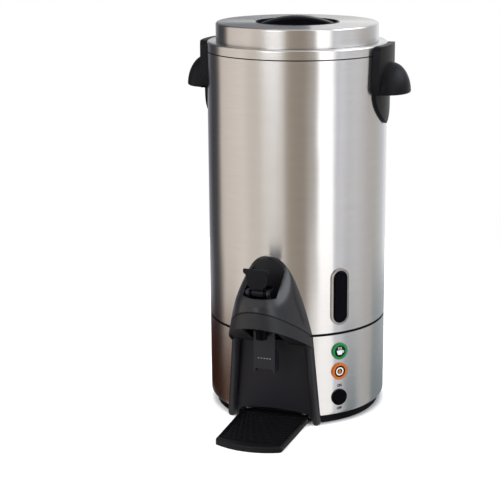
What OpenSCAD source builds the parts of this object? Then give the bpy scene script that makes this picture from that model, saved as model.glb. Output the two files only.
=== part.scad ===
// Coffee urn of the 100-cup class: double-walled steel body, percolator
// inside, and a hooded tap that opens by a thumb lever above or by a press
// lever below. Millimetres. Origin on the urn's axis at the table, +Z up,
// the tap toward -Y, the handles at +X and -X.

/* [Body] */
// Outer diameter of the steel body
body_d = 254; // [232:1:310]
// Height of the base skirt's top edge above the table
base_h = 131; // [128:1:150]
// Height of the tank shell above the seam gasket
tank_h = 378.3; // [312:0.1:460]
// Thickness of the gasket between base and tank
seam_h = 3.7; // [2:0.1:5]
// Sheet thickness of the body, the tank and the lid
sheet = 1; // [0.8:0.1:1.4]
// Air gap between the outer shell and the inner tank
jacket = 8; // [7:0.5:12]
// Height of the rim collar
collar_h = 13; // [10:0.5:20]
// Width of the collar's ledge around the mouth
ledge_w = 14.5; // [13:0.5:20]
// Radius of the skirt's rolled lower edge
skirt_roll = 6; // [3:0.5:8]
// Height of the black base ring below the skirt
ring_h = 12; // [11:0.1:18]

/* [Lid] */
// Height of the lid above the collar
lid_h = 26.1; // [22:0.1:40]
// Radius of the round well in the lid
well_r = 58; // [44:1:66]
// Depth of the well
well_depth = 14; // [10:0.5:16]
// Rise of the grip above the lid
grip_rise = 7.5; // [6:0.5:25]
// Width of the grip bar
grip_w = 26; // [18:1:34]
// Direction of the grip bar, turned from the X axis
grip_turn = 18; // [0:1:45]

/* [Handles] */
// Height of the finger scoop's open underside above the table
scoop_z = 460; // [380:1:460]
// Half width of the scoop at its underside
scoop_half_w = 38; // [30:1:39]
// Height of the scoop
scoop_h = 42; // [34:1:44]
// Reach of the scoop beyond the handle plate
scoop_reach = 26.8; // [22:0.1:34]
// Wall of the scoop
scoop_wall = 3; // [2:0.5:4]
// Thickness of the handle plate beside the scoop
grip_plate = 10; // [8:0.5:14]
// Thickness of the tongue below the scoop
tongue_plate = 4; // [3:0.5:6]

/* [Tap housing] */
// Half width of the hood at the seam
hood_half_w = 58.8; // [56:0.2:64]
// Height of the hood's arch above its widest point
hood_rise = 113.2; // [108:0.2:130]
// How far the nose of the hood stands out past the tap's axis
nose_room = 31; // [28:0.5:38]
// Wall of the hood and the visor
hood_wall = 2.4; // [2:0.1:3]
// Half width of the lever opening in the hood
window_half_w = 24; // [22:0.5:27]
// Depth of the recessed panel behind the body's front
panel_depth = 23; // [20:0.5:28]
// Thickness of the recessed panel
panel_t = 2.5; // [2:0.1:4]
// Radius of the beads along both sides of the panel
bead_r = 6.2; // [4.5:0.1:7]

/* [Tap] */
// Distance from the body's surface to the spout's axis
tap_reach = 30; // [28:0.5:33]
// Radius of the faucet barrel
barrel_r = 11.6; // [11:0.1:12]
// Radius of the bore in the barrel
barrel_bore = 9.6; // [9:0.1:10]
// Radius of the spout
spout_r = 8; // [7:0.1:9]
// Radius of the valve stem
stem_r = 2.8; // [2:0.1:3.2]
// Radius of the lever pin
pin_r = 2.5; // [2:0.1:3]
// Running clearance of pins and stems, on the radius
run_gap = 0.06; // [0.03:0.01:0.1]
// Half width of the press flap
flap_half_w = 15.4; // [15.3:0.1:20]
// Half width of the thumb lever's finger pad
pad_half_w = 18.5; // [14:0.5:21]

/* [Drip tray] */
// Height of the tray's rim above the table
tray_h = 8.4; // [7.6:0.1:9.6]
// Half width of the tray at its widest
tray_half_w = 49.6; // [48:0.2:55]
// Distance from the body's front to the tray's front edge
tray_out = 100.4; // [80:0.1:120]
// Spacing of the ribs
rib_pitch = 6.4; // [5:0.1:9]
// Width of a rib
rib_w = 2.6; // [1.5:0.1:3.5]

/* [Gauge and controls] */
// Direction of the gauge and the controls, turned from the tap
control_turn = 45.5; // [44:0.5:60]
// Height of the gauge's middle above the tank floor
gauge_up = 40; // [38:1:60]
// Width of the gauge's black frame
gauge_w = 21; // [19:0.5:26]
// Height of the gauge's black frame
gauge_h = 74.4; // [66:0.2:90]
// Radius of the pilot lights' rims
light_r = 12; // [11:0.1:14]
// Spacing of the two pilot lights
light_pitch = 29.6; // [25:0.1:34]
// Radius of the switch's rim
switch_r = 11.75; // [11:0.05:14]
// Distance from the lower light to the switch
switch_drop = 38.5; // [34:0.5:40]

/* [Percolator] */
// Diameter of the coffee basket
basket_d = 155; // [110:1:190]
// Height of the coffee basket
basket_h = 100; // [70:1:120]
// Radius of the percolator tube
tube_r = 4; // [3:0.1:5]

/* [Hidden] */
$fn = 96;

steel = [0.78, 0.78, 0.77];
black = [0.10, 0.10, 0.11];
hood_grey = [0.25, 0.25, 0.26];
over = 1;        // how far a cutting shape passes the surface it cuts
face_gap = 0.15; // gap between a moulding and the shell it lies on
hole_gap = 0.2;  // clearance hole around a screw or a shank, on the radius

// Levels and radii of the body
R = body_d / 2;
tank_z = base_h + seam_h;
tank_top = tank_z + tank_h;
flange_t = 1.5;
rim_seal_t = 0.6;
collar_z = tank_top + flange_t;
collar_top = collar_z + collar_h;
mouth_r = R - ledge_w;
lid_r = mouth_r + 1.9;
lid_top = collar_top + lid_h;
edge_r = 3;
inner_r = R - sheet - jacket - sheet;
floor_z = tank_z + 11.3;
sump_r = 26;
sump_depth = 12;
skirt_t = 1.2;
skirt_flange = 8;
pan_r = R - skirt_flange - 0.6;
pan_wall = 3;
pan_floor = 2;
foot_t = 2.4;
front_y = -(R - panel_depth);
panel_back = front_y + panel_t;

// Tie rods between the pan and the tank floor
rod_r = 2.5;
rod_ring = R - 43;
rod_turns = [0, 120, 240];

// Tap housing levels
arch_z = base_h + 2;
visor_foot = arch_z - 29;
bead_slope = 0.08;
foot_w = hood_half_w + bead_slope * arch_z;
bead_back = -sqrt(R * R - foot_w * foot_w) + bead_r;
nose = tap_reach + nose_room;
nose_top = arch_z + 107;
nose_fall = 56;
seam_at = [base_h - 1, 0.70];
visor_at = [base_h - 17.2, 0.62];
seam_gap = 0.7;
tilt_from = -15;
arch_steps = 21;
oval_steps = 24;
window_z = arch_z + 66;
window_rim = 3;

// Tap mechanism: places are measured from the spout's axis and the port
port_z = floor_z + 22;
tap_y = -(R + tap_reach);
shank_r = 10;
shank_bore = 6.5;
seat_z = port_z - 10;
barrel_top = port_z + 24;
spout_end = port_z - 31;
spout_bore = 6;
bonnet_cap = 4.5;
pin_y = tap_y - 12.5;
pin_z = port_z + 38;
bar_z = port_z + 44;
bar_r = 2.2;
bar_half = 15.1;
prong_gap = 0.35;
ear_in = 8;
ear_out = 11.5;
arm_in = 12.4;
arm_out = 15.3;
thumb_half = 7.6;
hub_r = 5;
flap_y = tap_y + 9.6;
flap_t = 2.5;
flap_z = port_z - 78;
flap_top = port_z - 21;
flange_back = flap_y + 16;

// Drip tray
tray_z = 0.4;
tray_floor = 2;
tray_wall = 2;
tray_front = -(R + tray_out);
tongue_half = 46;
tongue_back = panel_back + 14;
slot_half = 56.5;
slot_top = 15.9;
slot_chamfer = 6.5;
slot_bow = 330;
rib_h = 1.6;

// Gauge and controls, drawn on the shell's surface: +Z outward, +Y up
gauge_z = floor_z + gauge_up;
gauge_out = 4.5;
gauge_deep = 5;
gauge_lip = 1;
window_t = 1.2;
fitting_up = 27;
fitting_r = 3.4;
gauge_tube_r = 2.7;
tube_axis = -0.25;
bulb_z = base_h - 24.3;
heat_z = bulb_z - light_pitch;
switch_z = heat_z - switch_drop;
light_body = 9.2;
switch_body = 10.4;
rocker_tilt = 6;
rocker_pivot = 0.6;
gland_z = 34;
gland_r = 8;

// Percolator
basket_top = collar_top - 27.5;
basket_z = basket_top - basket_h;
cover_h = 8;

// ---- Shared shapes ----

// A hollow round tube
module pipe(r_out, r_in, h) {
    difference() {
        cylinder(r = r_out, h = h);
        translate([0, 0, -over])
            cylinder(r = r_in, h = h + 2 * over);
    }
}

// A place on the body's surface: +Z outward, +Y up
module on_body(turn, z) {
    rotate([0, 0, turn])
        translate([0, -R, z])
            rotate([90, 0, 0])
                children();
}

// A bar with round ends, standing along Y
module oblong(w, h, t) {
    for (side = [-1, 1])
        translate([0, side * (h - w) / 2, 0])
            cylinder(d = w, h = t);
    translate([-w / 2, -(h - w) / 2, 0])
        cube([w, h - w, t]);
}

// Half an oval from (w, back) round (0, front) to (-w, back) at height z
function half_oval(w, back, front, z) =
    [for (i = [0 : oval_steps]) let (t = 180 * i / oval_steps)
        [w * cos(t), back + (front - back) * sin(t), z]];

// A solid through sections of equal point count, stacked upward
module loft(sections) {
    n = len(sections[0]);
    m = len(sections);
    polyhedron(
        points = [for (s = sections) each s],
        faces = concat(
            [[for (i = [n - 1 : -1 : 0]) i]],
            [for (j = [0 : m - 2], i = [0 : n - 1]) let (k = (i + 1) % n)
                [j * n + i, j * n + k, (j + 1) * n + k]],
            [for (j = [0 : m - 2], i = [0 : n - 1]) let (k = (i + 1) % n)
                [j * n + i, (j + 1) * n + k, (j + 1) * n + i]],
            [[for (i = [0 : n - 1]) (m - 1) * n + i]]
        )
    );
}

// Points of an arc, for profiles
function arc(x, y, r, from, to, n = 6) =
    [for (i = [0 : n]) let (t = from + (to - from) * i / n) [x + r * cos(t), y + r * sin(t)]];

// A pan-head screw along +Z, its head below the origin
module screw(r, length, head_r, head_h) {
    translate([0, 0, -head_h])
        cylinder(r = head_r, h = head_h);
    cylinder(r = r, h = length);
}

// The body's cylinder, used to fit mouldings to it
module body_cylinder(r, z0, z1) {
    translate([0, 0, z0])
        cylinder(r = r, h = z1 - z0, $fn = 180);
}

// ---- Body ----

module port_cut(r) {
    translate([0, -R + 20, port_z])
        rotate([90, 0, 0])
            cylinder(r = r, h = 40);
}

handle_screw_z = [scoop_z - 26, scoop_z + 47];
hood_screw_turn = 18.4;
hood_screw_z = base_h + 21;
screw_r = 1.8;

module shell_screw_cuts() {
    for (turn = [-90, 90], z = handle_screw_z)
        on_body(turn, z)
            translate([0, 0, -10])
                cylinder(r = screw_r + hole_gap, h = 20, $fn = 32);
    for (turn = [-hood_screw_turn, hood_screw_turn])
        on_body(turn, hood_screw_z)
            translate([0, 0, -10])
                cylinder(r = screw_r + hole_gap, h = 20, $fn = 32);
}

module outer_shell() {
    color(steel)
    difference() {
        translate([0, 0, tank_z])
            pipe(R, R - sheet, tank_h);
        port_cut(shank_r + hole_gap);
        on_body(control_turn, gauge_z)
            translate([0, 0, -10])
                oblong(gauge_w + 0.4, gauge_h + 0.4, 20);
        shell_screw_cuts();
    }
}

module inner_tank() {
    sump_z = floor_z - sump_depth;
    outer_r = inner_r + sheet;
    bend = 7;
    color(steel)
    difference() {
        rotate_extrude()
            polygon(concat(
                [[0, sump_z - sheet], [sump_r + sheet, sump_z - sheet], [sump_r + sheet, floor_z - sheet]],
                arc(outer_r - bend, floor_z - sheet + bend, bend, -90, 0),
                [[outer_r, tank_top + rim_seal_t], [R - sheet + 0.05, tank_top + rim_seal_t],
                 [R - sheet + 0.05, collar_z], [inner_r, collar_z]],
                arc(inner_r - bend + sheet, floor_z + bend - sheet, bend - sheet, 0, -90),
                [[sump_r, floor_z], [sump_r, sump_z], [0, sump_z]]
            ));
        port_cut(shank_r + hole_gap);
        on_body(control_turn, gauge_z)
            for (side = [-1, 1])
                translate([0, side * fitting_up, -20])
                    cylinder(r = fitting_r + hole_gap, h = 20, $fn = 48);
    }
}

module top_collar() {
    lip = 11.5;
    color(steel)
    rotate_extrude()
        polygon(concat(
            [[R - sheet, collar_z], [R, collar_z]],
            arc(R - edge_r, collar_top - edge_r, edge_r, 0, 90),
            [[mouth_r, collar_top], [mouth_r, collar_top - lip], [mouth_r + sheet, collar_top - lip],
             [mouth_r + sheet, collar_top - sheet]],
            arc(R - edge_r, collar_top - edge_r, edge_r - sheet, 90, 0)
        ));
}

// The gasket between base and tank, and the one under the collar
module seam_gasket() {
    lip = R - sheet + 0.1;
    color(black) {
        translate([0, 0, base_h])
            pipe(R - 0.6, R - skirt_flange - 0.5, seam_h);
        rotate_extrude()
            polygon([
                [R - 4, tank_top], [R - 0.3, tank_top], [R - 0.3, collar_z], [lip, collar_z],
                [lip, tank_top + rim_seal_t], [R - 4, tank_top + rim_seal_t]
            ]);
    }
}

// Half width of the tap column at height z
function column_w(z) = hood_half_w + bead_slope * (arch_z - z);

// The column's outline between two levels, pushed outward by gap, as a prism along Y
module column_prism(z0, z1, gap, y0, y1) {
    translate([0, y1, 0])
        rotate([90, 0, 0])
            linear_extrude(height = y1 - y0)
                polygon([
                    [-column_w(z0) - gap, z0], [column_w(z0) + gap, z0],
                    [column_w(z1) + gap, z1], [-column_w(z1) - gap, z1]
                ]);
}

module base_shell() {
    roll_in = skirt_roll - skirt_t;
    color(steel)
    difference() {
        rotate_extrude()
            polygon(concat(
                [[R - skirt_flange, base_h], [R, base_h]],
                arc(R - skirt_roll, ring_h + skirt_roll, skirt_roll, 0, -90),
                [[R - skirt_flange, ring_h], [R - skirt_flange, ring_h + skirt_t]],
                arc(R - skirt_roll, ring_h + skirt_roll, roll_in, -90, 0),
                [[R - skirt_t, base_h - skirt_t], [R - skirt_flange, base_h - skirt_t]]
            ));
        column_prism(-over, base_h + over, 0.3, -R - over, -R / 2);
        for (z = [bulb_z, heat_z])
            on_body(control_turn, z)
                translate([0, 0, -10])
                    cylinder(r = light_body + hole_gap, h = 20);
        on_body(control_turn, switch_z)
            translate([0, 0, -10])
                cylinder(r = switch_body + hole_gap, h = 20);
        on_body(180, gland_z)
            translate([0, 0, -10])
                cylinder(r = gland_r + hole_gap, h = 20);
    }
}

column_screw_x = tongue_half - 4;
column_screw_y = panel_back + 4;

module base_pan() {
    floor_top = ring_h + pan_floor;
    color(black)
    difference() {
        union() {
            difference() {
                rotate_extrude()
                    polygon([
                        [0, ring_h], [pan_r - pan_wall, ring_h], [pan_r - pan_wall, foot_t + 2],
                        [pan_r - 9, foot_t + 2], [pan_r - 9, foot_t], [pan_r - 0.8, foot_t],
                        [pan_r - 0.8, 0.8], [pan_r, 0.8], [pan_r, ring_h - 1.5],
                        [pan_r + 3.4, ring_h - 1.5], [pan_r + 3.4, ring_h], [pan_r, ring_h],
                        [pan_r, floor_top], [0, floor_top]
                    ]);
                translate([-R, -R - over, -over])
                    cube([body_d, R + over + panel_back + 0.3, base_h]);
                // Room for the column's beads and for the tray's tongue
                for (side = [-1, 1])
                    translate([side * (column_w(0) - bead_r) - 12, -R, -over])
                        cube([24, R + bead_back + 0.4, base_h]);
                translate([-tongue_half - 1.5, -R, -over])
                    cube([2 * tongue_half + 3, R + tongue_back + 1, ring_h]);
            }
            for (side = [-1, 1])
                translate([side * (tongue_half + 1.75) - 1.5, bead_back + 0.4, 3])
                    cube([3, 18, ring_h - 3]);
        }
        for (turn = rod_turns)
            rotate([0, 0, turn])
                translate([0, rod_ring, 0])
                    cylinder(r = rod_r + hole_gap, h = base_h, $fn = 32);
        for (side = [-1, 1])
            translate([side * column_screw_x, column_screw_y, 0])
                cylinder(r = screw_r + hole_gap, h = base_h, $fn = 32);
    }
}

module foot_ring() {
    color([0.05, 0.05, 0.05])
    difference() {
        pipe(pan_r - 0.9, pan_r - 8.4, foot_t);
        translate([-R, -R - over, -over])
            cube([body_d, R + over + panel_back + 6, foot_t + 2 * over]);
    }
}

module tie_rods() {
    color("silver")
    for (turn = rod_turns)
        rotate([0, 0, turn])
            translate([0, rod_ring, 8])
                cylinder(r = rod_r, h = floor_z - sheet - 8, $fn = 32);
}

module tie_nuts() {
    color("silver")
    for (turn = rod_turns)
        rotate([0, 0, turn])
            translate([0, rod_ring, ring_h - 4])
                difference() {
                    cylinder(r = 5, h = 4, $fn = 6);
                    translate([0, 0, -over])
                        cylinder(r = rod_r + 0.02, h = 4 + 2 * over, $fn = 32);
                }
}

// ---- Handles ----

tongue_half_w = 39;
tongue_drop = 43.5;
plate_half_w = 44.2;
plate_top_half_w = 41;
plate_h = 66.5;
plate_corner = 8;

// Right half of the handle's outline from the tip of its tongue to its top edge
handle_side = concat(
    [for (i = [1 : 12]) let (a = 90 * i / 12)
        [tongue_half_w * pow(sin(a), 1.7), scoop_z - tongue_drop * cos(a)]],
    arc(plate_half_w - plate_corner, scoop_z + plate_corner, plate_corner, -70, 0, 4),
    arc(plate_top_half_w - plate_corner, scoop_z + plate_h - plate_corner, plate_corner, 0, 90)
);

// One handle drawn at the front; handle_left and handle_right turn it to its side
module handle() {
    plate_r = R + grip_plate;
    scoop = concat(
        [for (s = [[2, 0], [0.6, 0.8]]) [scoop_half_w - s[0], scoop_reach - s[0], scoop_z + s[1]]],
        [for (i = [0 : 9]) let (a = 4 + 9 * i)
            [scoop_half_w * cos(a), scoop_reach * cos(a), scoop_z + scoop_h * sin(a)]],
        [[2, -1, scoop_z + scoop_h]]
    );
    hollow = [for (i = [0 : 9]) let (a = 8.6 * i)
        [scoop_half_w * cos(a) - scoop_wall, scoop_reach * cos(a) - scoop_wall,
         scoop_z - over + (scoop_h - scoop_wall + over) * sin(a)]];
    color(black)
    difference() {
        union() {
            intersection() {
                translate([0, -R / 2, 0])
                    rotate([90, 0, 0])
                        linear_extrude(height = R)
                            for (side = [0, 1])
                                mirror([side, 0])
                                    polygon(concat(
                                        [[-over, scoop_z - tongue_drop]], handle_side, [[-over, scoop_z + plate_h]]
                                    ));
                union() {
                    body_cylinder(plate_r, scoop_z, scoop_z + 100);
                    body_cylinder(R + tongue_plate, scoop_z - 100, scoop_z + 1);
                }
            }
            loft([for (s = scoop) half_oval(s[0], -R - 3, -plate_r - s[1], s[2])]);
        }
        body_cylinder(R + face_gap, scoop_z - 100, scoop_z + 150);
        loft([for (s = hollow) half_oval(s[0], -R - tongue_plate, -plate_r - s[1], s[2])]);
        for (z = handle_screw_z)
            translate([0, -R, z])
                rotate([90, 0, 0])
                    cylinder(r = screw_r + 0.02, h = z < scoop_z ? 2.6 : 8, $fn = 32);
    }
}

module handle_left() {
    rotate([0, 0, -90])
        handle();
}

module handle_right() {
    rotate([0, 0, 90])
        handle();
}

module handle_screws() {
    color("silver")
    for (turn = [-90, 90], z = handle_screw_z)
        on_body(turn, z)
            translate([0, 0, -sheet - 0.1])
                screw(screw_r, sheet + (z < scoop_z ? 2.4 : 7.5), 3.6, 2.2);
}

// ---- Tap housing ----

// Front of the hood at height z, measured out from the body's surface
function nose_out(z) = let (t = max(0, min(1, (nose_top - z) / nose_fall)))
    max(hood_wall, nose * t * t * (3 - 2 * t));

// One section of the hood at height z, drawn in by inset
function hood_section(w, z, inset) = let (back = -sqrt(R * R - w * w))
    let (half = max(0.5, w - inset), oval = half_oval(half, back, -(R + max(0.3, nose_out(z) - inset)), z))
    inset > 0 ? concat([[half, back + 8, z]], oval, [[-half, back + 8, z]]) : oval;

// The hood's full form above the seam and its straight foot below, drawn in by inset
module hood_form(inset, last_step) {
    reach = 86;
    loft(concat(
        [for (z = [visor_foot, arch_z - 14]) hood_section(column_w(z), z, inset)],
        [for (i = [0 : last_step]) let (a = reach * i / arch_steps)
            hood_section(hood_half_w * cos(a), arch_z + (hood_rise - inset) * (1 - pow(cos(a), 2.5)), inset)]
    ));
}

// Everything below a plane that rises toward the front; at = [height at the body's edge, slope]
module below_plane(at, shift = 0) {
    far = R + 110;
    rotate([90, 0, 90])
        translate([0, 0, -R])
            linear_extrude(height = body_d)
                polygon([
                    [-far, -over], [0, -over],
                    [0, at[0] + shift + at[1] * (-R - tilt_from)],
                    [-far, at[0] + shift + at[1] * (far - R - tilt_from)]
                ]);
}

// The opening for the thumb lever, as a prism along Y
module window_prism() {
    rim = window_rim;
    translate([0, -R + 30, 0])
        rotate([90, 0, 0])
            linear_extrude(height = 120)
                intersection() {
                    translate([-window_half_w, window_z])
                        square([2 * window_half_w, hood_rise]);
                    polygon(concat(
                        [for (i = [0 : arch_steps]) let (a = 84 * i / arch_steps)
                            [hood_half_w * cos(a) - rim, arch_z + (hood_rise - rim) * (1 - pow(cos(a), 2.5))]],
                        [for (i = [arch_steps : -1 : 0]) let (a = 84 * i / arch_steps)
                            [rim - hood_half_w * cos(a), arch_z + (hood_rise - rim) * (1 - pow(cos(a), 2.5))]]
                    ));
                }
}

module tap_hood() {
    back_wall = 2;
    color(hood_grey)
    difference() {
        hood_form(0, arch_steps);
        below_plane(seam_at, seam_gap);
        body_cylinder(R + face_gap, base_h - over, tank_top);
        difference() {
            hood_form(hood_wall, arch_steps);
            body_cylinder(R + back_wall, base_h - over, tank_top);
            for (side = [-1, 1])
                on_body(side * hood_screw_turn, hood_screw_z)
                    cylinder(r = 4, h = 9, $fn = 32);
        }
        difference() {
            window_prism();
            body_cylinder(R + back_wall, base_h - over, tank_top);
        }
        port_cut(17.6);
        for (side = [-1, 1])
            on_body(side * hood_screw_turn, hood_screw_z)
                cylinder(r = screw_r + 0.02, h = 8, $fn = 32);
    }
}

module tap_column() {
    ceiling = [3, 5.5];
    visor_steps = 13;
    color([0.17, 0.17, 0.18])
    difference() {
        union() {
            difference() {
                intersection() {
                    hood_form(0, visor_steps);
                    below_plane(seam_at);
                }
                below_plane(visor_at);
                difference() {
                    hood_form(hood_wall, visor_steps);
                    difference() {
                        below_plane(visor_at, ceiling[1]);
                        below_plane(visor_at, ceiling[0]);
                    }
                }
                body_cylinder(R + face_gap, base_h - 0.3, tank_top);
            }
            column_prism(0.5, base_h - 12, -2, front_y, panel_back);
            for (side = [-1, 1]) {
                hull() {
                    for (at = [[0.5, 2], [2, 0.4], [4, 0]]) {
                        w = column_w(at[0]);
                        translate([side * (w - bead_r), -sqrt(R * R - w * w), at[0]])
                            cylinder(r = bead_r - at[1], h = 0.1, $fn = 32);
                    }
                    top_w = column_w(base_h - 12);
                    translate([side * (top_w - bead_r), -sqrt(R * R - top_w * top_w), base_h - 12])
                        sphere(r = bead_r, $fn = 24);
                }
                translate([0, panel_back, 0])
                    rotate([90, 0, 0])
                        linear_extrude(height = 10)
                            polygon([
                                [side * (column_w(0.5) - 3.5), 0.5], [side * (column_w(base_h - 13) - 3.5), base_h - 13],
                                [side * (column_w(base_h - 13) - 9), base_h - 13], [side * (column_w(0.5) - 9), 0.5]
                            ]);
                translate([side * column_screw_x, column_screw_y, ring_h + pan_floor + 0.1])
                    cylinder(r = 4.5, h = 22, $fn = 48);
            }
        }
        // Slot in the visor's ceiling for the spout and the press lever
        translate([-window_half_w, -(R + 50), visor_foot - 10])
            cube([2 * window_half_w, 67, 80]);
        // Arched slot for the drip tray's tongue
        translate([0, panel_back + over, 0])
            rotate([90, 0, 0])
                linear_extrude(height = panel_t + 2 * over)
                    polygon(concat(
                        [[-slot_half, -over], [slot_half, -over], [slot_half, 2]],
                        [for (i = [8 : -1 : -8]) let (x = (slot_half - slot_chamfer) * i / 8)
                            [x, slot_top - x * x / (2 * slot_bow)]],
                        [[-slot_half, 2]]
                    ));
        for (side = [-1, 1])
            translate([side * column_screw_x, column_screw_y, ring_h])
                cylinder(r = screw_r + 0.02, h = 14, $fn = 32);
    }
}

module hood_screws() {
    color("silver")
    for (side = [-1, 1])
        on_body(side * hood_screw_turn, hood_screw_z)
            translate([0, 0, -sheet - 0.1])
                screw(screw_r, sheet + 7.5, 3.6, 2.2);
}

module column_screws() {
    color("silver")
    for (side = [-1, 1])
        translate([side * column_screw_x, column_screw_y, ring_h])
            screw(screw_r, 13, 3.6, 2.2);
}

// ---- Tap ----

// A plate in the YZ plane between x0 and x1; points are [y, z]
module side_plate(points, x0, x1) {
    rotate([90, 0, 90])
        translate([0, 0, x0])
            linear_extrude(height = x1 - x0)
                polygon(points);
}

// A round bar along X between x0 and x1
module cross_bar(r, y, z, x0, x1) {
    translate([x0, y, z])
        rotate([0, 90, 0])
            cylinder(r = r, h = x1 - x0, $fn = 48);
}

// A round bar along Y, from y0 to y1, at the port's height
module port_bar(r, y0, y1, sides = 64) {
    translate([0, y0, port_z])
        rotate([-90, 0, 0])
            cylinder(r = r, h = y1 - y0, $fn = sides);
}

flange_y = -(R + 2.1);
shank_end = -(inner_r - 12);

module faucet_body() {
    color(black)
    difference() {
        union() {
            translate([0, tap_y, seat_z - 8])
                cylinder(r = barrel_r, h = barrel_top - seat_z + 8);
            translate([0, tap_y, spout_end])
                cylinder(r = spout_r, h = seat_z - spout_end);
            port_bar(shank_r, tap_y, shank_end);
            port_bar(17, flange_y - 2.8, flange_y);
            for (x = [-ear_out, ear_in]) {
                side_plate([
                    [tap_y - 1, port_z + 6], [tap_y - 1, port_z + 22], [tap_y - 8, port_z + 22.5],
                    [tap_y - 8, pin_z - 3], [pin_y - 4, pin_z], [pin_y - 1.2, pin_z - 7.5], [tap_y - 9, port_z + 8]
                ], x, x + ear_out - ear_in);
                cross_bar(hub_r, pin_y, pin_z, x, x + ear_out - ear_in);
            }
        }
        translate([0, tap_y, seat_z])
            cylinder(r = barrel_bore, h = barrel_top);
        translate([0, tap_y, spout_end - over])
            cylinder(r = spout_bore, h = seat_z);
        port_bar(shank_bore, tap_y, shank_end + over);
        cross_bar(pin_r + 0.02, pin_y, pin_z, -ear_out - over, ear_out + over);
    }
}

module faucet_washers() {
    bore = shank_r + 0.1;
    color([0.85, 0.84, 0.8])
    difference() {
        union() {
            // Outer washer, between the flange and the shell
            difference() {
                port_bar(16.5, flange_y, -R + 6);
                body_cylinder(R + 0.02, base_h, tank_top);
            }
            // Spacer between the two walls
            intersection() {
                port_bar(14, -R, -inner_r + 4);
                translate([0, 0, base_h])
                    pipe(R - sheet - 0.02, inner_r + sheet + 0.02, tank_h);
            }
            // Inner washer, between the tank's wall and the nut
            intersection() {
                port_bar(15, -R, -(inner_r - 4));
                body_cylinder(inner_r - 0.02, base_h, tank_top);
            }
        }
        port_bar(bore, -R - 10, 0);
    }
}

module faucet_nut() {
    color([0.8, 0.65, 0.3])
    difference() {
        port_bar(15, -(inner_r - 4), -(inner_r - 11), 6);
        port_bar(shank_r + 0.02, -R, 0);
    }
}

module bonnet() {
    color([0.2, 0.2, 0.2])
    translate([0, tap_y, 0])
        difference() {
            union() {
                translate([0, 0, barrel_top - 6])
                    cylinder(r = barrel_bore - 0.1, h = 6 + over);
                translate([0, 0, barrel_top])
                    cylinder(r = 10.5, h = bonnet_cap);
                translate([0, 0, barrel_top + bonnet_cap - over])
                    cylinder(r = 7.5, h = 4.5 + over);
            }
            translate([0, 0, seat_z])
                cylinder(r = stem_r + run_gap, h = 60, $fn = 48);
        }
}

// The stem's turned form, grown by gap for the cup that grips it
module stem_form(gap) {
    translate([0, tap_y, seat_z + 3])
        cylinder(r = 5 + gap, h = 2, $fn = 48);
    translate([0, tap_y, seat_z + 3])
        cylinder(r = stem_r + gap, h = bar_z - seat_z - 2 + bar_r, $fn = 48);
}

module valve_stem() {
    color([0.15, 0.15, 0.16])
    union() {
        stem_form(0);
        translate([0, tap_y, seat_z + 10.1])
            cylinder(r = 6, h = 1.4, $fn = 48);
        cross_bar(bar_r, tap_y, bar_z, -bar_half, bar_half);
    }
}

module seat_cup() {
    color([0.75, 0.2, 0.15])
    difference() {
        translate([0, tap_y, 0])
            rotate_extrude()
                polygon([
                    [0, seat_z + 1.6], [6.4, seat_z + 0.2], [barrel_bore - 0.5, seat_z + 0.2],
                    [barrel_bore - 0.5, seat_z + 3], [7, seat_z + 8], [5, seat_z + 10], [0, seat_z + 10]
                ]);
        stem_form(0.02);
    }
}

// A coil of round wire along Z, swept ring by ring
module coil(mean_r, wire_r, height, turns, per_turn) {
    sides = 8;
    rings = turns * per_turn;
    pitch = (height - 2 * wire_r) / turns;
    points = [for (i = [0 : rings], k = [0 : sides - 1])
        let (a = 360 * i / per_turn, b = 360 * k / sides)
        [(mean_r + wire_r * cos(b)) * cos(a), (mean_r + wire_r * cos(b)) * sin(a),
         wire_r + pitch * i / per_turn + wire_r * sin(b)]];
    polyhedron(points, concat(
        [[for (k = [0 : sides - 1]) k]],
        [for (i = [0 : rings - 1], k = [0 : sides - 1]) let (n = (k + 1) % sides)
            [i * sides + k, (i + 1) * sides + k, (i + 1) * sides + n]],
        [for (i = [0 : rings - 1], k = [0 : sides - 1]) let (n = (k + 1) % sides)
            [i * sides + k, (i + 1) * sides + n, i * sides + n]],
        [[for (k = [sides - 1 : -1 : 0]) rings * sides + k]]
    ));
}

module valve_spring() {
    color("silver")
    translate([0, tap_y, seat_z + 11.6])
        coil(6.2, 0.7, barrel_top - 6.1 - seat_z - 11.6, 5, 14);
}

module lever_pin() {
    color("silver")
    union() {
        cross_bar(pin_r, pin_y, pin_z, -arm_out - 0.6, arm_out + 0.6);
        cross_bar(3.6, pin_y, pin_z, -arm_out - 2, -arm_out - 0.4);
        cross_bar(3.6, pin_y, pin_z, arm_out + 0.4, arm_out + 1.2);
    }
}

// Height of the lever fingers' upper faces, just under the crosshead
finger_top = bar_z - bar_r - prong_gap;

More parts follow.
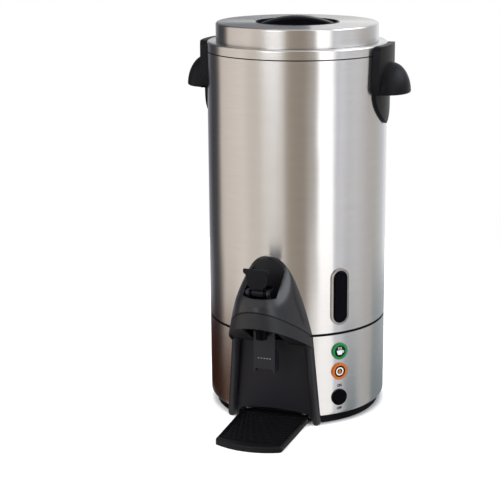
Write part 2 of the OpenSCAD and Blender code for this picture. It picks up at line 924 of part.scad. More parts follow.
module thumb_lever() {
    finger_t = 3.6;
    tip = [pin_y - 11, pin_z + 34];
    color([0.13, 0.13, 0.14])
    difference() {
        union() {
            cross_bar(hub_r, pin_y, pin_z, -thumb_half, thumb_half);
            for (x = [-thumb_half + 0.2, 3.6])
                translate([x, pin_y, finger_top - finger_t])
                    cube([3.8, tap_y + hub_r - pin_y, finger_t]);
            hull() {
                cross_bar(2, pin_y - 2, pin_z + 2.6, -thumb_half, thumb_half);
                cross_bar(1.7, pin_y - 5.2, pin_z + 8, -thumb_half, thumb_half);
            }
            hull() {
                cross_bar(1.7, pin_y - 5.2, pin_z + 8, -thumb_half, thumb_half);
                cross_bar(1.7, pin_y - 6, pin_z + 13, -13.5, 13.5);
                cross_bar(1.6, pin_y - 7.5, pin_z + 27, -14.5, 14.5);
            }
            hull() {
                cross_bar(1.6, pin_y - 7.5, pin_z + 27, -14.5, 14.5);
                for (x = [1.8 - pad_half_w, pad_half_w - 1.8]) {
                    translate([x, pin_y - 8.6, pin_z + 30.5])
                        sphere(r = 1.8, $fn = 20);
                    translate([x * 0.95, tip[0], tip[1]])
                        sphere(r = 1.8, $fn = 20);
                }
            }
        }
        cross_bar(pin_r + run_gap, pin_y, pin_z, -thumb_half - over, thumb_half + over);
    }
}

module press_lever() {
    finger_t = 3.6;
    flange_in = flap_half_w - 2.5;
    color([0.13, 0.13, 0.14])
    difference() {
        union() {
            for (x = [-arm_out, arm_in]) {
                cross_bar(hub_r - 0.4, pin_y, pin_z, x, x + arm_out - arm_in);
                translate([x, pin_y, finger_top - finger_t])
                    cube([arm_out - arm_in, tap_y + hub_r - pin_y, finger_t]);
                side_plate([
                    [pin_y - 1.5, pin_z - 4], [tap_y - 4, port_z + 18], [flap_y - 1.5, flap_top + 6],
                    [flap_y, flap_top - 8], [flap_y + flap_t, flap_top - 8], [flap_y + 5, flap_top + 8],
                    [tap_y + 3.5, port_z + 12], [pin_y + 4.4, pin_z - 1]
                ], x, x + arm_out - arm_in);
            }
            translate([-flap_half_w, flap_y, flap_z])
                cube([2 * flap_half_w, flap_t, flap_top - flap_z]);
            for (x = [-flap_half_w, flange_in])
                side_plate([
                    [flap_y, flap_z + 30], [flap_y, flap_z - 5], [flange_back, flap_z - 5],
                    [flange_back, flap_z + 18], [flap_y + flap_t, flap_z + 30]
                ], x, x + flap_half_w - flange_in);
        }
        cross_bar(pin_r + run_gap, pin_y, pin_z, -arm_out - over, arm_out + over);
    }
}

// ---- Drip tray ----

// The tray's outline, drawn in by inset; its front edge bulges
module tray_outline(inset, back = 0) {
    half = tray_half_w - inset;
    front_half = half - 2;
    corner = 6;
    bulge = 9.5;
    front = tray_front + inset;
    flat_half = front_half - corner * 0.8;
    side = concat(
        [[half, front_y - 0.5 + back], [half, -(R + 7)]],
        [for (a = [0 : 15 : 75]) [front_half - corner + corner * cos(a), front + bulge + corner - corner * sin(a)]],
        [for (i = [8 : -1 : 1]) let (q = i / 8) [flat_half * q, front + bulge * q * q]]
    );
    polygon(concat(side, [for (i = [len(side) - 1 : -1 : 0]) [-side[i][0], side[i][1]]]));
}

module drip_tray() {
    dish_z = tray_z + tray_floor;
    rib_top = tray_h - rib_h;
    ribs_from = R - 20;
    ribs_to = -tray_front - 14;
    edge = 2;
    color(black)
    union() {
        difference() {
            union() {
                translate([0, 0, tray_z])
                    linear_extrude(height = tray_h - edge - tray_z)
                        tray_outline(0);
                for (i = [1 : 4])
                    translate([0, 0, tray_h - edge * (1.25 - i / 4) - 0.01])
                        linear_extrude(height = edge / 4 + 0.01)
                            tray_outline(edge * (1 - cos(15 * i)));
            }
            translate([0, 0, dish_z])
                linear_extrude(height = tray_h)
                    intersection() {
                        tray_outline(tray_wall + 1, over + 3);
                        circle(r = ribs_to, $fn = 180);
                    }
        }
        intersection() {
            translate([0, 0, dish_z - 0.5])
                linear_extrude(height = rib_top - dish_z + 0.5)
                    tray_outline(tray_wall);
            for (r = [ribs_from : rib_pitch : ribs_to - rib_w])
                translate([0, 0, tray_z])
                    pipe(r + rib_w, r, tray_h);
        }
        // Tongue that slides under the panel
        translate([-tongue_half, front_y - 2, tray_z])
            cube([2 * tongue_half, tongue_back - front_y + 2, rib_top - 1 - tray_z]);
    }
}

// ---- Gauge and controls ----

module gauge_bezel() {
    color("silver")
    on_body(control_turn, gauge_z)
        difference() {
            intersection() {
                translate([0, 0, -3])
                    oblong(gauge_w + 7, gauge_h + 7, 8);
                on_axis(R + gauge_lip + 1.1);
            }
            on_axis(R + 0.05);
            translate([0, 0, -5])
                oblong(gauge_w + 0.4, gauge_h + 0.4, 20);
            intersection() {
                translate([0, 0, -5])
                    oblong(gauge_w + 4.4, gauge_h + 4.4, 20);
                on_axis(R + gauge_lip + 0.1);
            }
        }
}

// The body's cylinder as it lies in the frame of on_body at the gauge
module on_axis(r) {
    translate([0, gauge_h, -R])
        rotate([90, 0, 0])
            cylinder(r = r, h = 2 * gauge_h, $fn = 180);
}

// A bar with round ends and a rounded front edge
module soft_oblong(w, h, t, edge) {
    side = concat([[0, 0], [w / 2, 0]], arc(w / 2 - edge, t - edge, edge, 0, 90), [[0, t]]);
    for (end = [-1, 1])
        translate([0, end * (h - w) / 2, 0])
            rotate_extrude()
                polygon(side);
    translate([0, (h - w) / 2, 0])
        rotate([90, 0, 0])
            linear_extrude(height = h - w) {
                polygon(side);
                mirror([1, 0, 0])
                    polygon(side);
            }
}

module gauge_housing() {
    color(black)
    on_body(control_turn, gauge_z)
        difference() {
            union() {
                translate([0, 0, -gauge_deep])
                    soft_oblong(gauge_w, gauge_h, gauge_deep + gauge_out, 2.4);
                intersection() {
                    translate([0, 0, -3])
                        oblong(gauge_w + 3.6, gauge_h + 3.6, 6);
                    difference() {
                        on_axis(R + gauge_lip);
                        on_axis(R + 0.05);
                    }
                }
            }
            translate([0, 0, -gauge_deep + 1.8])
                oblong(gauge_w - 8, gauge_h - 8, 20);
            translate([0, 0, gauge_out - window_t - 0.6])
                oblong(gauge_w - 5, gauge_h - 5, 5);
            for (side = [-1, 1])
                translate([0, side * fitting_up, -20])
                    cylinder(r = fitting_r + 0.05, h = 20, $fn = 48);
        }
}

module gauge_window() {
    color([0.2, 0.2, 0.25, 0.5])
    on_body(control_turn, gauge_z)
        translate([0, 0, gauge_out - window_t - 0.6])
            oblong(gauge_w - 5.2, gauge_h - 5.2, window_t);
}

module gauge_tube() {
    color([0.8, 0.9, 0.95, 0.5])
    on_body(control_turn, gauge_z)
        translate([0, fitting_up - 3.6, tube_axis])
            rotate([90, 0, 0])
                pipe(gauge_tube_r, gauge_tube_r - 0.9, 2 * fitting_up - 7.2);
}

module gauge_fittings() {
    color([0.7, 0.7, 0.7])
    on_body(control_turn, gauge_z)
        for (side = [-1, 1])
            difference() {
                union() {
                    translate([0, side * fitting_up, -(R - inner_r) - 7])
                        cylinder(r = fitting_r, h = R - inner_r + 7, $fn = 48);
                    translate([0, side * fitting_up, -gauge_deep + 1.8])
                        cylinder(r = 4.6, h = 5.4, $fn = 48);
                }
                translate([0, side * fitting_up, -R])
                    cylinder(r = 1.6, h = R + tube_axis, $fn = 32);
                translate([0, side * (fitting_up - 3.6), tube_axis])
                    rotate([side * -90, 0, 0])
                        translate([0, 0, -4])
                            cylinder(r = gauge_tube_r + 0.05, h = 4, $fn = 48);
                translate([0, side * (fitting_up - 3.6), tube_axis])
                    rotate([side * -90, 0, 0])
                        cylinder(r = 1.6, h = 3.6, $fn = 32);
            }
}

module gauge_seals() {
    color([0.85, 0.84, 0.8])
    on_body(control_turn, gauge_z)
        for (side = [-1, 1])
            translate([0, side * fitting_up, -(R - inner_r) - 2])
                difference() {
                    cylinder(r = 6.5, h = 1.8, $fn = 48);
                    translate([0, 0, -over])
                        cylinder(r = fitting_r + 0.05, h = 5, $fn = 48);
                }
}

module gauge_nuts() {
    color([0.8, 0.65, 0.3])
    on_body(control_turn, gauge_z)
        for (side = [-1, 1])
            translate([0, side * fitting_up, -(R - inner_r) - 5.5])
                difference() {
                    cylinder(r = 6.5, h = 3.5, $fn = 6);
                    translate([0, 0, -over])
                        cylinder(r = fitting_r + 0.02, h = 6, $fn = 48);
                }
}

// A pilot light's coloured body, with a round recess for its dial
module pilot_light(z, colour) {
    rim_t = 2.2;
    color(colour)
    on_body(control_turn, z)
        difference() {
            union() {
                translate([0, 0, -1])
                    cylinder(r = light_r, h = rim_t + 1);
                translate([0, 0, -16])
                    cylinder(r = light_body, h = 16);
            }
            translate([0, 0, rim_t - 0.8])
                cylinder(r = 8.3, h = 2);
            difference() {
                translate([0, 0, -2])
                    cylinder(r = light_r + over, h = 3);
                translate([0, 0, -3])
                    cylinder(r = light_body, h = 5);
                translate([0, 2 * light_r, -R])
                    rotate([90, 0, 0])
                        difference() {
                            cylinder(r = R + 20, h = 4 * light_r);
                            cylinder(r = R, h = 4 * light_r);
                        }
            }
        }
}

module ready_light() {
    pilot_light(bulb_z, [0.0, 0.6, 0.35]);
}

module heat_light() {
    pilot_light(heat_z, [0.9, 0.45, 0.12]);
}

module light_caps() {
    color([0.08, 0.1, 0.08])
    for (z = [bulb_z, heat_z])
        on_body(control_turn, z)
            translate([0, 0, 1.4])
                cylinder(r = 8.2, h = 0.5);
}

// A hexagon nut behind the base shell
module panel_nut(bore, z) {
    on_body(control_turn, z)
        translate([0, 0, -skirt_t - 4.7])
            difference() {
                cylinder(r = bore + 3, h = 4, $fn = 6);
                translate([0, 0, -over])
                    cylinder(r = bore + 0.02, h = 4 + 2 * over);
            }
}

module light_nuts() {
    color([0.85, 0.85, 0.82]) {
        panel_nut(light_body, bulb_z);
        panel_nut(light_body, heat_z);
        panel_nut(switch_body, switch_z);
    }
}

module switch_bezel() {
    well = 9.3;
    color(black)
    on_body(control_turn, switch_z)
        difference() {
            union() {
                translate([0, 0, -1])
                    cylinder(r = switch_r, h = 3);
                translate([0, 0, -22])
                    cylinder(r = switch_body, h = 22);
                for (x = [-6, 0, 6])
                    translate([x - 0.4, -3, -30])
                        cube([0.8, 6, 9]);
            }
            translate([0, 0, -7])
                cylinder(r = well, h = 12);
            translate([0, 0, rocker_pivot])
                rotate([0, 90, 0])
                    translate([0, 0, -switch_body + 0.3])
                        cylinder(r = 1.2 + run_gap, h = 2 * switch_body - 0.6, $fn = 32);
            difference() {
                translate([0, 0, -2])
                    cylinder(r = switch_r + over, h = 3);
                translate([0, 0, -3])
                    cylinder(r = switch_body, h = 5);
                translate([0, 2 * switch_r, -R])
                    rotate([90, 0, 0])
                        difference() {
                            cylinder(r = R + 20, h = 4 * switch_r);
                            cylinder(r = R, h = 4 * switch_r);
                        }
            }
        }
}

module switch_rocker() {
    face = 1.6;
    color([0.06, 0.06, 0.07])
    on_body(control_turn, switch_z)
        translate([0, 0, rocker_pivot])
            rotate([-rocker_tilt, 0, 0])
                difference() {
                    union() {
                        intersection() {
                            translate([0, 0, -4.6])
                                cylinder(r = 8.9, h = 9);
                            translate([-10, 0, 0])
                                rotate([0, 90, 0])
                                    cylinder(r = 8.95, h = 20);
                        }
                        translate([-switch_body + 0.5, 0, 0])
                            rotate([0, 90, 0])
                                cylinder(r = 1.2, h = 2 * switch_body - 1, $fn = 32);
                    }
                    for (side = [-1, 1])
                        translate([-12, 0, face])
                            rotate([side * rocker_tilt, 0, 0])
                                translate([0, side < 0 ? -12 : 0, 0])
                                    cube([24, 12, 8]);
                }
}

// ---- Heater and wiring parts ----

heater_r = R - 61;
heater_t = 4;

module heater_plate() {
    color([0.75, 0.75, 0.77])
    translate([0, 0, floor_z - sheet - heater_t])
        pipe(heater_r, sump_r + sheet + 3, heater_t);
}

module heating_element() {
    ring_r = (heater_r + sump_r + sheet + 3) / 2;
    wire = 4;
    level = floor_z - sheet - heater_t - wire;
    color([0.3, 0.3, 0.3])
    union() {
        translate([0, 0, level])
            rotate([0, 0, 110])
                rotate_extrude(angle = 320)
                    translate([ring_r, 0])
                        circle(r = wire, $fn = 32);
        for (turn = [110, 70])
            rotate([0, 0, turn])
                translate([ring_r, 0, level - 22])
                    cylinder(r = wire, h = 22, $fn = 32);
    }
}

module thermostats() {
    color([0.85, 0.82, 0.75])
    for (turn = [160, 200])
        rotate([0, 0, turn])
            translate([0, -rod_ring, floor_z - sheet - 9]) {
                cylinder(r = 8, h = 9);
                translate([-12, -5, 7.8])
                    cube([24, 10, 1.2]);
                for (x = [-3.5, 3.5])
                    translate([x - 0.4, -3, -6])
                        cube([0.8, 6, 7]);
            }
}

module terminal_block() {
    color([0.85, 0.85, 0.8])
    translate([-22, 30, ring_h + pan_floor])
        difference() {
            cube([44, 18, 16]);
            for (x = [8, 22, 36])
                translate([x, 9, 8])
                    cylinder(r = 3, h = 10, $fn = 32);
        }
}

module cord_gland() {
    color(black)
    on_body(180, gland_z)
        difference() {
            union() {
                difference() {
                    translate([0, 0, -1])
                        cylinder(r = gland_r + 4, h = 4.5);
                    translate([0, 40, -R])
                        rotate([90, 0, 0])
                            cylinder(r = R + 0.02, h = 80);
                }
                translate([0, 0, -12])
                    cylinder(r = gland_r, h = 14);
                translate([0, 0, 3])
                    cylinder(r1 = gland_r, r2 = gland_r - 2, h = 5);
            }
            translate([0, 0, -20])
                cylinder(r = 3.6, h = 40, $fn = 48);
        }
}

module gland_nut() {
    color([0.2, 0.2, 0.2])
    on_body(180, gland_z)
        translate([0, 0, -skirt_t - 4.6])
            difference() {
                cylinder(r = gland_r + 4, h = 4, $fn = 6);
                translate([0, 0, -over])
                    cylinder(r = gland_r + 0.02, h = 4 + 2 * over);
            }
}

// ---- Percolator ----

sump_floor = floor_z - sump_depth;
stem_top = basket_top + cover_h + 1.5;

module perc_stem() {
    bell_r = sump_r - 2;
    foot = sump_floor + 0.2;
    color(steel)
    union() {
        translate([0, 0, foot + 2.3])
            pipe(tube_r, tube_r - 1, stem_top - foot - 2.3);
        // Pump bell
        rotate_extrude()
            polygon([
                [tube_r - 0.4, foot + 15], [8, foot + 15], [bell_r, foot + 4], [bell_r, foot],
                [bell_r - 1.2, foot], [bell_r - 1.2, foot + 3.4], [7.4, foot + 13.6], [tube_r - 0.4, foot + 13.6]
            ]);
        // Flange that keeps the pump washer
        translate([0, 0, foot + 1.3])
            pipe(tube_r + 2.5, tube_r - 1, 1.2);
        // Shoulder that carries the basket
        translate([0, 0, basket_z - 3])
            pipe(tube_r + 4, tube_r - 0.5, 3);
    }
}

module pump_washer() {
    color("silver")
    translate([0, 0, sump_floor + 3])
        pipe(9.5, tube_r + 0.3, 1.2);
}

module basket() {
    wall = 0.8;
    sleeve_r = tube_r + 0.5;
    first = 18;
    step = 11;
    color(steel)
    difference() {
        union() {
            translate([0, 0, basket_z])
                pipe(basket_d / 2, basket_d / 2 - wall, basket_h);
            translate([0, 0, basket_z])
                pipe(basket_d / 2 - wall / 2, sleeve_r, wall);
            translate([0, 0, basket_z])
                pipe(sleeve_r + wall, sleeve_r, basket_h - 4);
        }
        for (r = [first : step : basket_d / 2 - 6])
            for (i = [0 : floor(2 * PI * r / 16) - 1])
                rotate([0, 0, 360 * i / floor(2 * PI * r / 16)])
                    translate([r, 0, basket_z - over])
                        cylinder(r = 1.5, h = 4, $fn = 16);
    }
}

module basket_cover() {
    wall = 0.8;
    rim = basket_d / 2;
    color(steel)
    difference() {
        translate([0, 0, basket_top])
            rotate_extrude()
                polygon([
                    [tube_r + 0.4, 4], [tube_r + 0.4, cover_h], [12, cover_h], [14, 4], [rim - 6, 2],
                    [rim - 4, cover_h - 2], [rim - wall, cover_h - 2], [rim - wall, 0], [rim - wall - 0.8, 0],
                    [rim - wall - 0.8, cover_h - 2 - wall], [rim - 3.2, cover_h - 2 - wall], [rim - 5.4, 1.1],
                    [13.4, 3.1], [11.4, cover_h - wall], [tube_r + 1.2, cover_h - wall], [tube_r + 1.2, 4]
                ]);
        for (i = [0 : 11])
            rotate([0, 0, 30 * i])
                translate([rim * 0.55, 0, basket_top - over])
                    cylinder(r = 1.5, h = 8, $fn = 16);
    }
}

// ---- Lid ----

well_floor = lid_top - well_depth;

module lid() {
    bend = edge_r - sheet;
    rim_gap = 0.4;
    wall_r = well_r + 0.5;
    color(steel)
    difference() {
        rotate_extrude()
            polygon(concat(
                [[lid_r - sheet, collar_top + rim_gap], [lid_r, collar_top + rim_gap]],
                arc(lid_r - edge_r, lid_top - edge_r, edge_r, 0, 90),
                arc(wall_r + 2, lid_top - 2, 2, 90, 180, 4),
                [[wall_r, well_floor], [0, well_floor], [0, well_floor - sheet], [wall_r + sheet, well_floor - sheet]],
                arc(wall_r + 2, lid_top - 2, 1, 180, 90, 4),
                arc(lid_r - edge_r, lid_top - edge_r, bend, 90, 0)
            ));
        lid_screw_places()
            translate([0, 0, well_floor - 10])
                cylinder(r = screw_r + hole_gap, h = 20, $fn = 32);
    }
}

module lid_screw_places() {
    for (side = [-1, 1])
        rotate([0, 0, grip_turn])
            translate([side * (well_r - 12), 0, 0])
                children();
}

module lid_liner() {
    plug_r = mouth_r - 1;
    depth = 9.5;
    color(steel)
    rotate_extrude()
        polygon([
            [0, collar_top - depth], [plug_r, collar_top - depth], [plug_r, collar_top],
            [lid_r - sheet - 0.2, collar_top], [lid_r - sheet - 0.2, collar_top + sheet],
            [plug_r - sheet, collar_top + sheet], [plug_r - sheet, collar_top - depth + sheet],
            [0, collar_top - depth + sheet]
        ]);
}

module lid_grip() {
    wall = 1.5;
    bar_t = 5;
    rise = grip_rise + bar_t;
    span = well_r - 0.5;
    bow = (span * span + rise * rise) / (2 * rise);
    under = bow - bar_t;
    round_top = 2.4;
    round_low = 1.2;
    color(black)
    difference() {
        union() {
            // Lining of the well
            translate([0, 0, well_floor])
                difference() {
                    cylinder(r = well_r, h = well_depth + 0.4);
                    translate([0, 0, wall])
                        cylinder(r = well_r - wall, h = well_depth + 10);
                }
            // Arched bar across it
            intersection() {
                rotate([0, 0, grip_turn])
                    translate([0, grip_w / 2, lid_top - bar_t + rise - bow])
                        rotate([90, 0, 0])
                            rotate_extrude($fn = 180)
                                polygon(concat(
                                    arc(bow - round_top, grip_w - round_top, round_top, 0, 90, 4),
                                    arc(under + round_low, grip_w - round_low, round_low, 90, 180, 3),
                                    arc(under + round_low, round_low, round_low, 180, 270, 3),
                                    arc(bow - round_top, round_top, round_top, 270, 360, 4)
                                ));
                translate([0, 0, well_floor + wall])
                    cylinder(r = well_r - wall / 2, h = 60);
            }
            lid_screw_places()
                translate([0, 0, well_floor])
                    cylinder(r = 4.5, h = well_depth - 4, $fn = 48);
        }
        lid_screw_places()
            translate([0, 0, well_floor - over])
                cylinder(r = screw_r + 0.02, h = 10, $fn = 32);
    }
}

module lid_screws() {
    color("silver")
    lid_screw_places()
        translate([0, 0, well_floor - sheet])
            screw(screw_r, sheet + 8.5, 3.6, 2.2);
}

outer_shell();
inner_tank();
top_collar();
seam_gasket();
base_shell();
base_pan();
foot_ring();
tie_rods();
tie_nuts();
handle_left();
handle_right();
handle_screws();
tap_hood();
tap_column();
hood_screws();
column_screws();
faucet_body();
faucet_washers();
faucet_nut();
bonnet();
valve_stem();
seat_cup();
valve_spring();
lever_pin();
thumb_lever();
press_lever();
drip_tray();
gauge_bezel();
gauge_housing();
gauge_window();
gauge_tube();
gauge_fittings();
gauge_seals();
gauge_nuts();
ready_light();
heat_light();
light_caps();
light_nuts();
switch_bezel();
switch_rocker();
heater_plate();
heating_element();
thermostats();
terminal_block();
cord_gland();
gland_nut();
perc_stem();
pump_washer();
basket();
basket_cover();
lid();
lid_liner();
lid_grip();
lid_screws();
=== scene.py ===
"""A coffee urn with a hooded tap: the finishes and fine parts that go over its packed structure."""

import math

import bmesh
import bpy
from mathutils import Matrix, Vector


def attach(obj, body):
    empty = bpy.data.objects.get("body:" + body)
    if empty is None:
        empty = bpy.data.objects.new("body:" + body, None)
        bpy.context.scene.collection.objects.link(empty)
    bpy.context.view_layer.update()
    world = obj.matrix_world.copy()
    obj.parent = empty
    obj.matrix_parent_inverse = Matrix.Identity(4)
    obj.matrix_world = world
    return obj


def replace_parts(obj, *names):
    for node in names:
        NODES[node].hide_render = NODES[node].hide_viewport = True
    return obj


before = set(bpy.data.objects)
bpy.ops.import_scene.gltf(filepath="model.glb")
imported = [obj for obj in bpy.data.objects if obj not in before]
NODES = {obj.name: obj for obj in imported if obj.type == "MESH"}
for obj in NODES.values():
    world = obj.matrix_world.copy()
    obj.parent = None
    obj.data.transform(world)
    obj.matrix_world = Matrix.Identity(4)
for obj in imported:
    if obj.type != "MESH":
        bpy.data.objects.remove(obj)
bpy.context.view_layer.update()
MM = 0.001

# ---------------------------------------------------------------- sizes of the urn, in millimetres

BODY_R = 127.0

# The controls: the turn of their column from the front in degrees, their heights, and how far a dial
# stands out.
CONTROL_TURN = 45.5
GREEN_Z = 106.7
ORANGE_Z = 77.1
SWITCH_Z = 38.6
DIAL_OUT = 1.9

# The joint between hood and visor: its height at SEAM_FROM in front of the axis, its slope, and how far to
# either side of it the light doesn't reach at all or only a little.
SEAM_Z = 130.35
SEAM_FROM = 112.0
SEAM_SLOPE = 0.70
SEAM_DARK = 1.2
SEAM_CLEAR = 1.7

# Where shade is painted: the wall behind the lever opening in the hood, and the recessed panel of the tap
# column.
OPENING_HALF_W = 24.3
OPENING_WALL_R = 129.6
OPENING_TOP = 241.5
PANEL_HALF_W = 54.5
PANEL_FRONT = -122.5
PANEL_TOP = 122.5

# The printing: its height off the surface, the press flap's face, and the marks' own sizes.
INK_LIFT = 0.06
FLAP_Y = -147.4
FLAP_MARK_Z = 105.5
PIP_R = 0.85
PIP_COUNT = 5
PIP_PITCH = 4.2
STEAM_COUNT = 3
STEAM_PITCH = 2.3
HEAT_RING = (4.0, 5.9)
ON_UP = 16.8
OFF_UP = -17.0
LETTER_SIZE = 5.4
LETTER_WEIGHT = 0.07
LETTER_SQUEEZE = 0.8
LETTER_SHIFT = 0.6


# ---------------------------------------------------------------- shader helpers


def add(tree, kind, inputs=None, family="ShaderNode", **settings):
    """One node of a tree. Its inputs are given as plain values or as sockets to link."""
    made = tree.nodes.new(family + kind)
    for name, value in settings.items():
        setattr(made, name, value)
    for name, value in (inputs or {}).items():
        socket = made.inputs[name]
        if isinstance(value, bpy.types.NodeSocket):
            tree.links.new(value, socket)
        else:
            socket.default_value = value
    return made


def math_node(tree, operation, first, second=0.0):
    """A Math node with one or two operands."""
    return add(tree, "Math", {0: first, 1: second}, operation=operation).outputs[0]


def all_of(tree, *masks):
    """1 where every mask is 1: their product."""
    made = masks[0]
    for mask in masks[1:]:
        made = math_node(tree, "MULTIPLY", made, mask)
    return made


def mix_colour(tree, factor, first, second, blend="MIX"):
    """A colour mix of two colours or sockets."""
    made = add(tree, "Mix", {0: factor, 6: first, 7: second}, data_type="RGBA", blend_type=blend)
    return made.outputs[2]


def between(tree, value, low, high):
    """A 0 to 1 value spread from low to high."""
    return add(tree, "MapRange", {"Value": value, "To Min": low, "To Max": high}).outputs[0]


def step_up(tree, value, low, high):
    """0 at low, 1 at high, and smooth between them. Low may be the larger one."""
    span = {"Value": value, "From Min": low, "From Max": high}
    return add(tree, "MapRange", span, interpolation_type="SMOOTHSTEP").outputs[0]


def noise(tree, vector, scale, detail=3.0, rough=0.5):
    """Noise from 0 to 1 at a scale in waves per metre."""
    made = add(tree, "TexNoise", {"Vector": vector, "Scale": scale, "Detail": detail, "Roughness": rough})
    return made.outputs[0]


def here(tree):
    """The place on the piece, in the urn's own frame."""
    return add(tree, "TexCoord").outputs["Object"]


def split(tree, vector):
    """The x, y and z of a vector."""
    return add(tree, "SeparateXYZ", {0: vector}).outputs


def from_axis(tree, place):
    """How far a place is from the urn's axis."""
    x, y, _ = split(tree, place)
    flat = add(tree, "CombineXYZ", {0: x, 1: y}).outputs[0]
    return add(tree, "VectorMath", {0: flat}, operation="LENGTH").outputs["Value"]


def new_group(name, inputs, outputs):
    """An empty shader node group with float inputs (name, default) and outputs (name, kind)."""
    group = bpy.data.node_groups.new(name, "ShaderNodeTree")
    for label, value in inputs:
        socket = group.interface.new_socket(label, in_out="INPUT", socket_type="NodeSocketFloat")
        socket.default_value = value
    for label, kind in outputs:
        group.interface.new_socket(label, in_out="OUTPUT", socket_type="NodeSocket" + kind)
    return group, group.nodes.new("NodeGroupInput").outputs, group.nodes.new("NodeGroupOutput").inputs


def make_brush_group():
    """Brush lines that run round the axis, on walls and on flat tops alike, and the slow waves of sheet."""
    group, given, result = new_group(
        "brush_lines",
        [("Fineness", 700.0), ("Length", 2.2), ("Band", 120.0), ("Wave", 11.0)],
        [("Line", "Float"), ("Band", "Float"), ("Wave", "Float")],
    )
    place = here(group)
    x, y, z = split(group, place)
    across = math_node(group, "ADD", from_axis(group, place), z)
    along = math_node(group, "MULTIPLY", math_node(group, "ARCTAN2", y, x), given["Length"])
    for label, scale, detail in (("Line", "Fineness", 4.0), ("Band", "Band", 2.0)):
        step = math_node(group, "MULTIPLY", across, given[scale])
        lines = add(group, "CombineXYZ", {0: along, 1: step}).outputs[0]
        group.links.new(noise(group, lines, 1.0, detail, 0.6), result[label])
    group.links.new(noise(group, place, given["Wave"], 1.0, 0.4), result["Wave"])
    return group


def make_grain_group():
    """The fine spark-eroded grain of a moulded part, with slow changes of sheen from handling."""
    group, given, result = new_group(
        "moulded_grain",
        [("Grain", 2600.0), ("Wear", 22.0)],
        [("Height", "Float"), ("Rub", "Float")],
    )
    place = here(group)
    group.links.new(noise(group, place, given["Grain"], 2.0, 0.6), result["Height"])
    group.links.new(noise(group, place, given["Wear"], 4.0, 0.6), result["Rub"])
    return group


def make_edge_group():
    """A mask of edges, 1 on a corner and 0 on a flat, for worn paler edges and for painted shade on the
    pilot lights' corners, and a normal that rounds sharp corners.
    """
    group, given, result = new_group(
        "edge_wear_and_shade", [("Width", 0.0006), ("Round", 0.0005)], [("Mask", "Float"), ("Normal", "Vector")]
    )
    on_flat, on_corner = 0.97, 0.78
    rubbed = add(group, "Bevel", {"Radius": given["Width"]}, samples=4).outputs[0]
    true = add(group, "NewGeometry").outputs["Normal"]
    same = add(group, "VectorMath", {0: rubbed, 1: true}, operation="DOT_PRODUCT").outputs["Value"]
    mask = add(group, "MapRange", {"Value": same, "From Min": on_flat, "From Max": on_corner}).outputs[0]
    group.links.new(mask, result["Mask"])
    rounded = add(group, "Bevel", {"Radius": given["Round"]}, samples=4).outputs[0]
    group.links.new(rounded, result["Normal"])
    return group


BRUSH = make_brush_group()
GRAIN = make_grain_group()
EDGES = make_edge_group()


def use(tree, group, **values):
    """A shader group placed in a material, with its own values."""
    made = tree.nodes.new("ShaderNodeGroup")
    made.node_tree = group
    for name, value in values.items():
        made.inputs[name].default_value = value
    return made.outputs


def new_material(name, **values):
    """A material with one Principled shader, and its plain values set on the shader's own sockets."""
    material = bpy.data.materials.new(name)
    material.use_nodes = True
    tree = material.node_tree
    shader = tree.nodes["Principled BSDF"]
    for socket, value in values.items():
        shader.inputs[socket.replace("_", " ")].default_value = value
    return material, tree, shader


def link_surface(tree, shader, shade, sheen):
    """Feeds a colour and a roughness to the shader."""
    tree.links.new(shade, shader.inputs["Base Color"])
    tree.links.new(sheen, shader.inputs["Roughness"])


def bump(tree, shader, height, distance, strength=1.0, normal=None):
    """Feeds a height to the shader's normal."""
    made = add(tree, "Bump", {"Height": height, "Distance": distance, "Strength": strength})
    if normal is not None:
        tree.links.new(normal, made.inputs["Normal"])
    tree.links.new(made.outputs[0], shader.inputs["Normal"])
    return made.outputs[0]


# ---------------------------------------------------------------- materials

# Depths in metres: the rolled sheet's waves, brush lines, moulded grain and the grain of a polished mould.
WAVE_DEPTH = 0.0009
LINE_DEPTH = 0.00002
GRAIN_DEPTH = 0.00003
POLISHED_DEPTH = 0.00001


def colour(red, green, blue):
    """A colour written as it is seen on screen, 0 to 255."""
    parts = [v / 255 for v in (red, green, blue)]
    return tuple(p / 12.92 if p <= 0.04045 else ((p + 0.055) / 1.055) ** 2.4 for p in parts) + (1.0,)


def darker(shade, share):
    """The same colour with less light."""
    return tuple(share * part for part in shade[:3]) + (1.0,)


def round_tangent(tree):
    """The direction round the axis, along which the steel is brushed."""
    x, y, _ = split(tree, here(tree))
    return add(tree, "CombineXYZ", {0: math_node(tree, "MULTIPLY", y, -1.0), 1: x}).outputs[0]


def make_brushed_steel():
    """Stainless sheet, brushed round the urn, so that its reflections smear up and down."""
    material, tree, shader = new_material(
        "brushed_steel", Metallic=1.0, Anisotropic=0.88, Anisotropic_Rotation=0.25
    )
    made = use(tree, BRUSH)
    tone = mix_colour(tree, made["Line"], colour(196, 195, 194), colour(211, 210, 209))
    tone = mix_colour(tree, between(tree, made["Band"], 0.0, 0.35), tone, colour(190, 190, 190))
    link_surface(tree, shader, tone, between(tree, made["Line"], 0.2, 0.27))
    tree.links.new(round_tangent(tree), shader.inputs["Tangent"])
    waves = bump(tree, shader, made["Wave"], WAVE_DEPTH)
    bump(tree, shader, made["Line"], LINE_DEPTH, 0.2, waves)
    return material


def make_metal(name, dark, light, sheen, wear):
    """A plain metal whose tone and sheen change slowly, at a wear in waves per metre."""
    material, tree, shader = new_material(name, Metallic=1.0)
    made = use(tree, GRAIN, Wear=wear)
    edge = use(tree, EDGES)
    tone = mix_colour(tree, made["Rub"], colour(*dark), colour(*light))
    link_surface(tree, shader, tone, between(tree, made["Rub"], *sheen))
    bump(tree, shader, made["Height"], LINE_DEPTH, 0.15, edge["Normal"])
    return material


